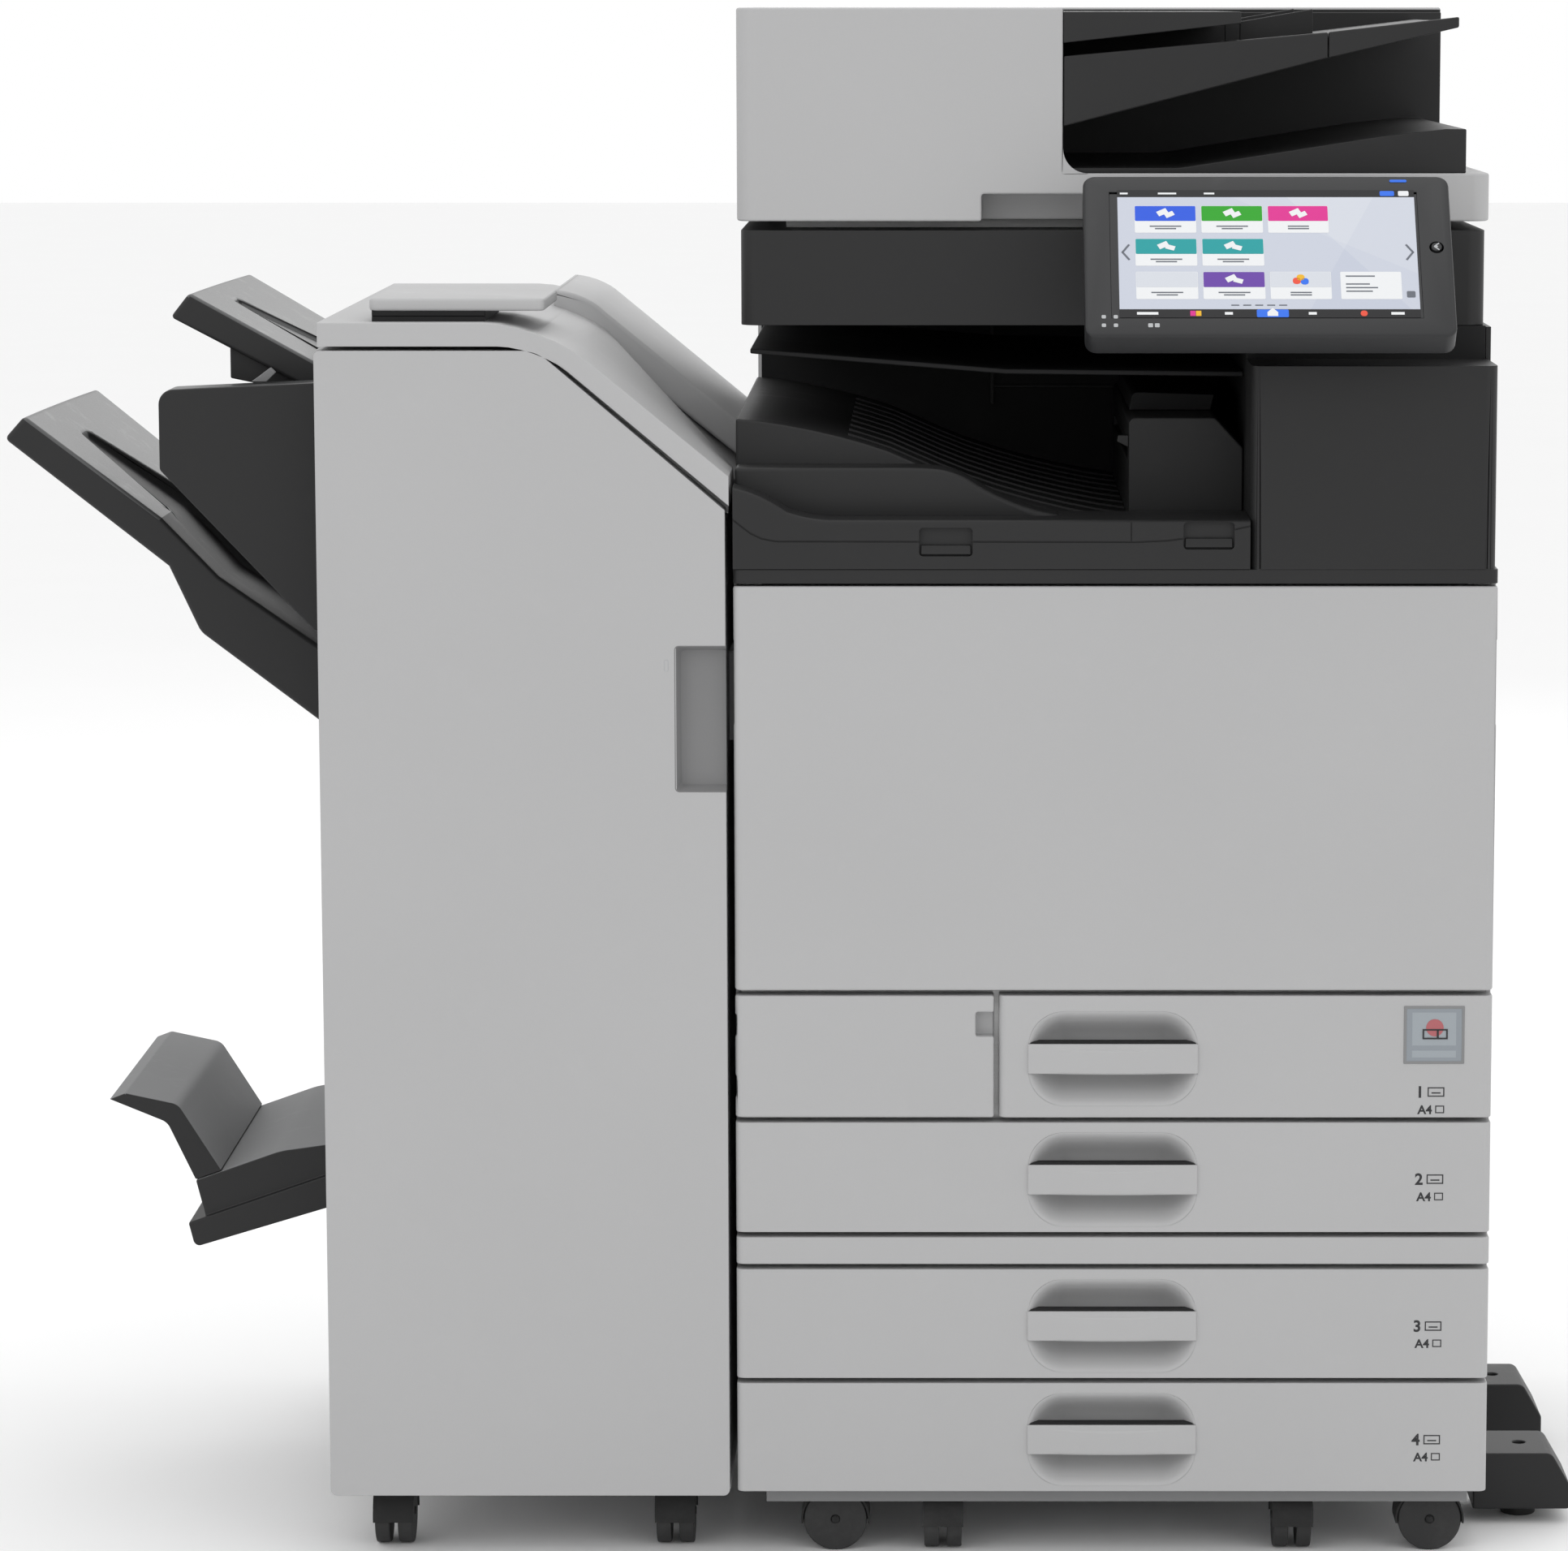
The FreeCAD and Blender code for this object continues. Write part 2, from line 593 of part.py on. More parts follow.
def tray(number, x_low, box_low, z_low, height):
    # Paper tray: front panel with a scoop and a handle bar, and an open box behind it.
    name = f"paper_tray_{number}"
    z_mid = z_low + height / 2 - 1.5
    x_mid = x_main + handle_centre
    x_span = (x_mid - scoop_width / 2, x_mid + scoop_width / 2)
    z_span = (z_mid - scoop_height / 2, z_mid + scoop_height / 2)
    back = y_front + scoop_depth + 4
    front = prism(f"{name}_front", "XY",
                  [(x_low, y_front), (x_main_end, y_front), (x_main_end, y_front + front_thick),
                   (x_low, y_front + front_thick)], (z_low, z_low + height), [(edge_round, [0, 1])])
    bulge = block(f"{name}_bulge", (x_span[0] - 2, x_span[1] + 2), (y_front + front_thick / 2, back),
                  (z_span[0] - 1.5, z_span[1] + 1.5))
    arms = [block(f"{name}_arm_{side}", (x, x + 24), (y_front + front_thick - 1, back),
                  (z_low + shelf * 2, z_low + shelf * 2 + 50))
            for side, x in enumerate((box_low + 20, x_main_end - frame_wall - skin - runner_gap - 44))]
    scoop = prism(f"{name}_scoop", "XZ", frame_of(x_span, z_span), (y_front - 1, y_front + scoop_depth),
                  [(scoop_height * 0.36, [0, 1, 2, 3])])
    shell = cut(f"{name}_shell", fuse(f"{name}_sum", [front, bulge] + arms), [scoop])
    bar = block(f"{name}_bar", (x_span[0] - 1, x_span[1] + 1), (y_front - 2, y_front + bar_thick - 2),
                (z_mid - bar_height / 2, z_mid + bar_height / 2))
    face = fuse(f"{name}_face", [shell, bar])
    x0, x1 = box_low, x_main_end - frame_wall - skin - runner_gap
    z0 = z_low + shelf + seat_gap
    outer = block(f"{name}_box", (x0, x1), (back, y_rear_wall - 30), (z0, z0 + box_height))
    inner = block(f"{name}_room", (x0 + box_wall, x1 - box_wall),
                  (back + box_wall, y_rear_wall - 30 - box_wall),
                  (z0 + box_wall, z0 + box_height + 1))
    keep(name, group(f"{name}_whole", [face, cut(f"{name}_tub", outer, [inner])]))


def fronts():
    # Doors, trays and fixed strips of the front.
    rail = x_main + frame_wall + skin + runner_gap
    tray(1, x_tray_1, x_tray_1 + seam + runner_gap, z_tray_1, top_tray_height)
    tray(2, x_main, rail, z_tray_2, tray_front_height)
    tray(3, x_main, rail, z_tray_3, bank_front_height)
    tray(4, x_main, rail, z_tray_4, bank_front_height)
    y_span = (y_front, y_front + front_thick)
    door = prism("door_panel", "XY",
                 [(x_main, y_span[0]), (x_main_end, y_span[0]), (x_main_end, y_span[1]),
                  (x_main, y_span[1])],
                 (z_door, z_door + door_height), [(edge_round, [0, 1])])
    tools = list(door_cuts)
    tools.append(block("door_hollow", (x_main + 14, x_main_end - 14), (y_front + 5, y_frame),
                       (z_door + 16, z_door + door_height - 14)))
    notch_z = (z_door + door_height - 106, z_door + door_height - 43)
    tools.append(block("door_notch_left", (x_main - 1, x_main + 3), (y_front + 4, y_frame), notch_z))
    tools.append(block("door_notch_right", (x_main_end - 3, x_main_end + 1), (y_front + 4, y_frame),
                       notch_z))
    keep("front_door", cut("door_whole", door, tools))
    x_waste = (x_main, x_main + waste_width)
    waste = prism("waste_panel", "XY",
                  [(x_waste[0], y_span[0]), (x_waste[1], y_span[0]), (x_waste[1], y_span[1]),
                   (x_waste[0], y_span[1])],
                  (z_tray_1, z_tray_1 + top_tray_height), [(edge_round, [0])])
    grip = block("waste_grip", (x_waste[1] - 14, x_waste[1] + 1), (y_front - 1, y_front + 12),
                 (z_tray_1 + 64, z_tray_1 + 83))
    keep("waste_toner_door", cut("waste_whole", waste, waste_cuts + [grip]))
    strip = prism("strip_panel", "XY",
                  [(x_main, y_front), (x_main_end, y_front), (x_main_end, y_frame - seat_gap),
                   (x_main, y_frame - seat_gap)], (z_strip, z_strip + strip_height), [(edge_round, [0, 1])])
    keep("bank_trim_strip", strip)


def upper_front():
    # Black waist strip with the front right cover above it, in one moulding.
    waist = prism("waist", "XY",
                  [(x_main, y_front + 1), (x_main_end, y_front + 1), (x_main_end, y_frame - seat_gap),
                   (x_main, y_frame - seat_gap)], (z_waist, z_waist + waist_height), [(edge_round, [0, 1])])
    x0, x1 = x_cover, x_main_end - thin_seam
    cover = prism("right_box", "XY",
                  [(x0, y_front), (x1, y_front), (x1, y_scanner), (x0, y_scanner)],
                  (z_waist + waist_height, z_cover_top), [(10, [0, 1])])
    pocket(cover, "right_box_hollow", "XZ", frame_of((x0 + skin, x1 - skin),
                                                     (z_cover + 6, z_cover_top - skin)),
           (y_front + skin, y_scanner + 1))
    keep("front_right_cover", fuse("upper_front", [waist, cover]))


def output_area():
    # Output tray: a front moulding and a bed that climbs to the left, with the exit unit on its right.
    x0, x1 = x_main, x_cover - thin_seam / 4
    z_low = z_waist + waist_height + seat_gap
    z_edge = z_low + moulding_height
    front = prism("moulding", "XZ",
                  [(x0, z_low), (x1, z_low), (x1, z_edge), (x0 + 62, z_edge), (x0 + 42, z_edge + 6),
                   (x0 + 22, z_edge + 19), (x0, z_edge + 25)],
                  (y_front, y_front + moulding_depth + 1), [(14, [3, 5])])
    bed = prism("bed", "XZ",
                [(x0, z_low), (x1, z_low), (x1, z_low + 28), (x1 - exit_width, z_low + 28),
                 (x0 + 230, z_low + 36),
                 (x0 + 120, z_low + 84), (x0 + 60, z_low + 106), (x0, z_low + 110)],
                (y_front + moulding_depth, y_rear_wall - seat_gap), [(120, [4, 6])])
    hollow = block("bed_hollow", (x0 + 8, x1 - exit_width - 20),
                   (y_front + moulding_depth + 6, y_rear_wall - 6),
                   (z_low - 1, z_low + 20))
    keep("output_tray", cut("output_whole", fuse("output_sum", [front, bed]), [hollow]))
    z_exit = z_low + 28 + seat_gap
    unit = prism("exit_body", "XZ",
                 [(x1 - exit_width, z_exit), (x1, z_exit), (x1, z_exit + exit_height - 24),
                  (x1 - 22, z_exit + exit_height), (x1 - exit_width, z_exit + exit_height)],
                 (y_front + moulding_depth + 35, y_rear_wall - 40), [(6, [3, 4])])
    slot = block("exit_slot", (x1 - exit_width - 1, x1 - exit_width + 30),
                 (y_front + moulding_depth + 60, y_rear_wall - 60),
                 (z_exit + 44, z_exit + 54))
    keep("exit_unit", cut("exit_whole", unit, [slot]))
    z_thin = z_scanner - 38
    thin = prism("thin_tray_slab", "XZ",
                 [(x0 + 10, z_thin + 18), (x0 + 210, z_thin + 2), (x1, z_thin), (x1, z_thin - thin_tray),
                  (x0 + 210, z_thin + 2 - thin_tray), (x0 + 10, z_thin + 18 - thin_tray)],
                 (y_front + 120, y_rear_wall - seat_gap))
    keep("one_bin_tray", thin)


def scanner():
    # Scanner unit: black housing with a glass in its top, a carriage in its cavity and an arm for the panel.
    x0, x1 = x_main + 4, x_main_end - 5
    outline = [(x0, y_scanner), (x1, y_scanner), (x1, y_back), (x0, y_back)]
    housing = prism("scanner_shell", "XY", outline, (z_scanner, z_glass), [(14, [0, 1])])
    cavity = block("scanner_cavity", (x0 + 14, x1 - 14), (y_scanner + 20, y_back - 36),
                   (z_scanner + 8, z_glass - 6))
    glass_x = x_main + 42
    glass_y = y_scanner + 62
    rebate = block("glass_rebate", (glass_x - seat_gap, glass_x + glass_width + seat_gap),
                   (glass_y - seat_gap, glass_y + glass_depth + seat_gap),
                   (z_glass - glass_thick - seat_gap, z_glass + 1))
    opening = block("glass_window", (glass_x + 6, glass_x + glass_width - 6),
                    (glass_y + 6, glass_y + glass_depth - 6),
                    (z_glass - 8, z_glass))
    arm = block("panel_arm", (x_pivot - 30, x_pivot + 30), (y_pivot, y_scanner + 2),
                (z_pivot - 8, z_pivot + 6))
    barrel = rod("arm_barrel", "x", (y_pivot, z_pivot), 9, x_pivot - 30, x_pivot + 30)
    pin = rod("arm_pin", "x", (y_pivot, z_pivot), pivot_radius, x_pivot - 42, x_pivot + 42)
    hollow = cut("scanner_hollow", housing, [cavity, rebate, opening])
    keep("scanner_housing", fuse("scanner_whole", [hollow, arm, barrel, pin] + lid_ears))
    keep("platen_glass", block("glass", (glass_x, glass_x + glass_width), (glass_y, glass_y + glass_depth),
                               (z_glass - glass_thick, z_glass)))
    z_low = z_scanner + 8 + seat_gap
    body = block("carriage_body", (x0 + 16, x0 + 16 + carriage_width), (y_scanner + 22, y_back - 38),
                 (z_low, z_low + 44))
    lamp = block("carriage_slot", (x0 + 30, x0 + 36), (y_scanner + 50, y_back - 60),
                 (z_low + 30, z_low + 45))
    keep("scan_carriage", cut("carriage_whole", body, [lamp]))
    pad = block("pad", (glass_x - 4, glass_x + glass_width + 4), (glass_y - 4, glass_y + glass_depth + 4),
                (z_glass + seat_gap, z_lid))
    keep("platen_pad", pad)


# Control panel: its front face starts at the machine's foremost line and leans back
x_panel = x_main + panel_left
x_pivot = x_panel + panel_width / 2
y_panel = y_front - panel_reach
lean_y, lean_z = sine(panel_tilt), cosine(panel_tilt)
y_pivot = y_panel + lean_y * 55 + lean_z * (panel_thick + 12)
z_pivot = panel_low + lean_z * 55 - lean_y * (panel_thick + 12)


def on_panel(along, depth):
    # A point in the panel's section: along its face from the lower edge, and behind its face.
    return (y_panel + lean_y * along + lean_z * depth, panel_low + lean_z * along - lean_y * depth)


def leaning(name, x_span, along, depth):
    corners = [on_panel(along[0], depth[0]), on_panel(along[1], depth[0]),
               on_panel(along[1], depth[1]), on_panel(along[0], depth[1])]
    return prism(name, "YZ", corners, x_span)


def leaning_rod(name, x, along, radius, start, end):
    # A round bar along the panel's inward normal.
    piece = doc.addObject("Part::Cylinder", name)
    piece.setExpression("Radius", as_size(radius).text)
    piece.setExpression("Height", (as_size(end) - start).text)
    piece.setExpression("Placement.Rotation.Angle", f"{panel_tilt.text} * 1deg + 90deg")
    piece.Placement.Rotation = FreeCAD.Rotation(FreeCAD.Vector(-1, 0, 0), 90 + panel_tilt.value)
    y, z = on_panel(along, start)
    for letter, value in zip("xyz", (x, y, z)):
        piece.setExpression(f"Placement.Base.{letter}", as_size(value).text)
    return piece


def control_panel():
    x_end = x_panel + panel_width
    body = leaning("panel_body", (x_panel, x_end), (0, panel_height), (0, panel_thick))
    lugs = []
    for number, x in enumerate((x_pivot - 41, x_pivot + 31)):
        lug = prism(f"panel_lug_{number}", "YZ",
                    [on_panel(40, panel_thick - 2), on_panel(70, panel_thick - 2),
                     on_panel(64, panel_thick + 20),
                     on_panel(46, panel_thick + 20)], (x, x + 10))
        lugs.append(lug)
    bore = rod("panel_bore", "x", (y_pivot, z_pivot), pivot_radius + shaft_gap, x_pivot - 43, x_pivot + 43)
    room = rod("barrel_room", "x", (y_pivot, z_pivot), 9.5, x_pivot - 31, x_pivot + 31)
    screen_x = x_panel + 20
    screen_z = 17
    rebate = leaning("screen_rebate", (screen_x - seat_gap, screen_x + screen_width + seat_gap),
                     (screen_z - seat_gap, screen_z + screen_height + seat_gap),
                     (-1, screen_thick + seat_gap))
    button_x, button_z = x_end - 12, 84
    hole = leaning_rod("button_hole", button_x, button_z, button_radius + seat_gap, -1, 8)
    keep("control_panel", cut("panel_whole", fuse("panel_sum", [body] + lugs), [bore, room, rebate, hole]))
    keep("touch_screen", leaning("screen_glass", (screen_x, screen_x + screen_width),
                                 (screen_z, screen_z + screen_height), (0, screen_thick)))
    keep("power_button", leaning_rod("button_cap", button_x, button_z, button_radius, -1, 5))


def feeder():
    # Document feeder on the platen lid: light cover, black inner body, feed cover, tray and guides.
    x0, x1 = x_main + 1, x_main_end - thin_seam
    y1 = y_back - 17
    y_wall = y1 - 78
    x_feeder = x_main + feeder_width + 3
    lid = prism("lid_slab", "XY", [(x0, y_scanner), (x1, y_scanner), (x1, y1), (x0, y1)], (z_lid, z_lid_top),
                [(14, [0, 1])])
    tower = prism("feeder_tower", "XY", [(x0, y_scanner), (x_feeder, y_scanner), (x_feeder, y1), (x0, y1)],
                  (z_lid_top, z_top), [(14, [0])])
    back = block("feeder_back", (x_feeder, x1 - 2), (y_wall, y1), (z_lid_top, z_top))
    knuckles = [block(f"lid_knuckle_{number}", (spot - 16, spot + 16), (y1 - 1, y_back - 2),
                      (z_lid + 3, z_lid + 18))
                for number, spot in enumerate(lid_spots)]
    x_cover_end = x_feeder - 8
    y_cover = (y_scanner + 14, y_back - 80)
    tools = list(lid_cuts)
    tools.append(block("feed_room", (x_feed, x_cover_end), y_cover, (feed_cover_low, z_top + 1)))
    tools.append(block("feed_hinge_room", (x_feed, x_feed + 15), y_cover, (feed_cover_low - 4, z_top + 1)))
    tools.append(block("feed_hollow", (x_feed + 16, x_cover_end - 12), (y_cover[0] + 16, y_cover[1] - 16),
                       (z_lid_top + 20, z_top)))
    tools.append(block("feed_mouth", (x_cover_end - 13, x_feeder + 1), (y_cover[0] + 24, y_cover[1] - 24),
                       (z_lid_top + 92, z_lid_top + 97)))
    tools.append(block("output_mouth", (x_cover_end - 13, x_feeder + 1), (y_cover[0] + 24, y_cover[1] - 24),
                       (z_lid_top + 24, z_lid_top + 34)))
    tools.append(block("lift_grip", (x_main + 191, x_main + 272), (y_scanner - 1, y_scanner + 30),
                       (z_lid - 1, z_lid + 21)))
    shell = cut("feeder_shell", fuse("feeder_sum", [lid, tower, back] + knuckles), tools)
    keep("feeder_cover", fuse("feeder_whole", [shell] + feed_ears))
    flap = block("feed_flap", (x_feed + 3, x_cover_end - seat_gap),
                 (y_cover[0] + seat_gap, y_cover[1] - seat_gap),
                 (feed_cover_low + seat_gap, z_top))
    keep("feed_cover", cut("feed_flap_whole", flap, feed_cuts))

    # black inner body: output bed, rear wall and the guide over the document tray's inner end
    x_in = x_feeder
    x_bed_end = x_main_end - 20.7
    y_in = y_wall - 5
    bed = prism("document_bed", "XZ",
                [(x_in, z_lid_top), (x_bed_end, z_lid_top), (x_bed_end, z_lid_top + 34),
                 (x_bed_end - 15, z_lid_top + 34),
                 (x_bed_end - 62, z_lid_top + 29), (x_bed_end - bed_run, z_lid_top + 4),
                 (x_in, z_lid_top + 4)],
                (y_scanner + 4, y_in + 1), [(90, [5])])
    wall = block("document_wall", (x_in, x1 - 2), (y_in, y_wall), (z_lid_top, z_top - 4))
    guide = prism("document_hood", "XZ",
                  [(x_in, z_top - 27), (x_in + 137, z_top - 12), (x_in + 137, z_top - 3), (x_in, z_top - 3)],
                  (y_scanner, y_in + 1))
    keep("feeder_inner_body", fuse("inner_whole", [bed, wall, guide]))

    # document tray, rising to the right, with a side band in front
    tray_x = x_in + seat_gap
    slope = (document_rise - 1) / (tray_length + extension_length)
    z_floor = z_lid_top + 82
    y_tray = (y_scanner, y_in - seat_gap)

    def floor_at(x):
        return z_floor + (x - tray_x) * slope

    x_mid = tray_x + tray_length
    floor = prism("tray_floor", "XZ",
                  [(tray_x, floor_at(tray_x) - 8), (x_mid, floor_at(x_mid) - 8), (x_mid, floor_at(x_mid)),
                   (tray_x, floor_at(tray_x))], y_tray)
    band = prism("tray_band", "XZ",
                 [(tray_x, z_floor - 46), (x_mid, floor_at(x_mid) - 17), (x_mid, floor_at(x_mid) + 3),
                  (tray_x, z_floor + 8)], (y_scanner, y_scanner + 8))
    keep("document_tray", fuse("document_tray_whole", [floor, band]))
    x_far = x_mid + seam / 8
    x_end = tray_x + tray_length + extension_length
    plate = prism("extension_plate", "XZ",
                  [(x_far, floor_at(x_far) - 8), (x_end, floor_at(x_end) - 5), (x_end, floor_at(x_end)),
                   (x_far, floor_at(x_far))], y_tray)
    lip = prism("extension_band", "XZ",
                [(x_far, floor_at(x_far) - 17), (x_end, floor_at(x_end) - 5), (x_end, floor_at(x_end) + 3),
                 (x_far, floor_at(x_far) + 3)], (y_scanner, y_scanner + 8))
    tongue = prism("extension_tongue", "XZ",
                   [(x_far - 90, floor_at(x_far - 90) - 12.3), (x_far + 4, floor_at(x_far + 4) - 12.3),
                    (x_far + 4, floor_at(x_far + 4) - 8 - seat_gap),
                    (x_far - 90, floor_at(x_far - 90) - 8 - seat_gap)],
                   (y_scanner + 40, y_in - 40))
    root = prism("extension_root", "XZ",
                 [(x_far, floor_at(x_far) - 12.3), (x_far + 12, floor_at(x_far + 12) - 12.3),
                  (x_far + 12, floor_at(x_far + 12) - 4), (x_far, floor_at(x_far) - 4)],
                 (y_scanner + 40, y_in - 40))
    keep("tray_extension", fuse("extension_whole", [plate, lip, tongue, root]))
    x_guide = (x_in + 141, x_mid - 6)
    y_mid = (y_tray[0] + y_tray[1]) / 2
    for side, label in ((-1, "front_document_guide"), (1, "rear_document_guide")):
        y_face = y_mid + guide_spread / 2 * side
        y_span = (y_face - 4, y_face) if side < 0 else (y_face, y_face + 4)
        fence = prism(f"guide_fence_{side + 1}", "XZ",
                      [(x_guide[0], floor_at(x_guide[0]) + seat_gap),
                       (x_guide[1], floor_at(x_guide[1]) + seat_gap),
                       (x_guide[1], z_top - 1), (x_guide[0], floor_at(x_guide[0]) + guide_height)], y_span)
        keep(label, fence)


def engine():
    # What the machine holds behind its door: toner bottles, imaging units with belt, fuser.
    z_shelf = z_waist - 4 - bottle_radius * 2 - 8
    y_low, y_high = y_frame + 22, y_rear_wall - 60
    bottles = []
    for number in range(4):
        x = x_main + 92 + bottle_pitch * number
        place = (x, z_shelf + seat_gap + bottle_radius)
        tube = rod(f"bottle_{number}", "y", place, bottle_radius, y_low, y_high)
        cap = rod(f"bottle_cap_{number}", "y", place, bottle_radius * 0.7, y_low - 12, y_low + 1)
        bottles.append(fuse(f"bottle_whole_{number}", [tube, cap]))
    keep("toner_bottles", group("bottles", bottles))
    z_units = z_door + 35 + seat_gap
    units = []
    for number in range(4):
        x = x_main + 36 + unit_pitch * number
        units.append(block(f"unit_{number}", (x, x + unit_pitch - 6), (y_low, y_high),
                           (z_units, z_units + 96)))
    x_belt = (x_main + 36, x_main + 36 + unit_pitch * 4 - 6)
    belt = prism("belt_unit", "XZ", frame_of(x_belt, (z_units + 96 + seat_gap, z_units + 150)),
                 (y_low, y_high),
                 [(22, [0, 1, 2, 3])])
    keep("imaging_units", group("imaging_set", units + [belt]))
    x_fuser = (x_belt[1] + 8, x_main_end - frame_wall - skin - 8)
    body = block("fuser_body", x_fuser, (y_low, y_high), (z_units, z_units + 130))
    gap = block("fuser_gap", (x_fuser[0] + 30, x_fuser[0] + 38), (y_low + 20, y_high - 20),
                (z_units - 1, z_units + 131))
    keep("fuser_unit", cut("fuser_whole", body, [gap]))


def right_side():
    # Right door over the paper path, with the bypass tray folded into it.
    z_span = (z_right_door, z_right_door_top)
    panel = block("side_door", (x_main_end - front_thick, x_main_end), (y_scanner, y_right_door), z_span)
    recess = block("bypass_recess", (x_main_end - bypass_depth, x_main_end + 1),
                   (y_bypass - seat_gap, y_bypass + bypass_width + seat_gap),
                   (z_bypass - seat_gap, z_bypass + bypass_height + seat_gap))
    slot = block("bypass_slot", (x_main_end - front_thick - 1, x_main_end - bypass_depth + 1),
                 (y_bypass + 12, y_bypass + bypass_width - 12), (z_bypass + 14, z_bypass + 22))
    grip = block("side_door_grip", (x_main_end - 12, x_main_end + 1), (y_scanner + 8, y_scanner + 28),
                 (z_right_door_top - 130, z_right_door_top - 50))
    hinge_room = block("bypass_hinge_room", (x_main_end - bypass_depth - 2.5, x_main_end + 1),
                       (y_bypass - seat_gap, y_bypass + bypass_width + seat_gap),
                       (z_bypass - 3, z_bypass + 15))
    shell = cut("side_door_shell", panel, right_cuts + [recess, slot, grip, hinge_room])
    keep("right_door", fuse("side_door_whole", [shell] + bypass_ears))
    flap = block("bypass_flap", (x_main_end - bypass_depth + seat_gap, x_main_end),
                 (y_bypass, y_bypass + bypass_width),
                 (z_bypass, z_bypass + bypass_height))
    lip = block("bypass_lip", (x_main_end - 7, x_main_end + 1),
                (y_bypass + bypass_width / 2 - 35, y_bypass + bypass_width / 2 + 35),
                (z_bypass + bypass_height - 14, z_bypass + bypass_height + 1))
    keep("bypass_tray", cut("bypass_whole", flap, bypass_cuts + [lip]))


def finisher_profile(inset, low):
    # The finisher's front outline: a tall box whose top right corner is cut by a slope.
    return [(x_fin + inset, low), (x_fin_end - inset, low),
            (x_fin_end - inset, z_fin_top - slope_drop - inset),
            (x_fin_end - slope_run - inset * 0.4, z_fin_top - inset), (x_fin + inset, z_fin_top - inset)]


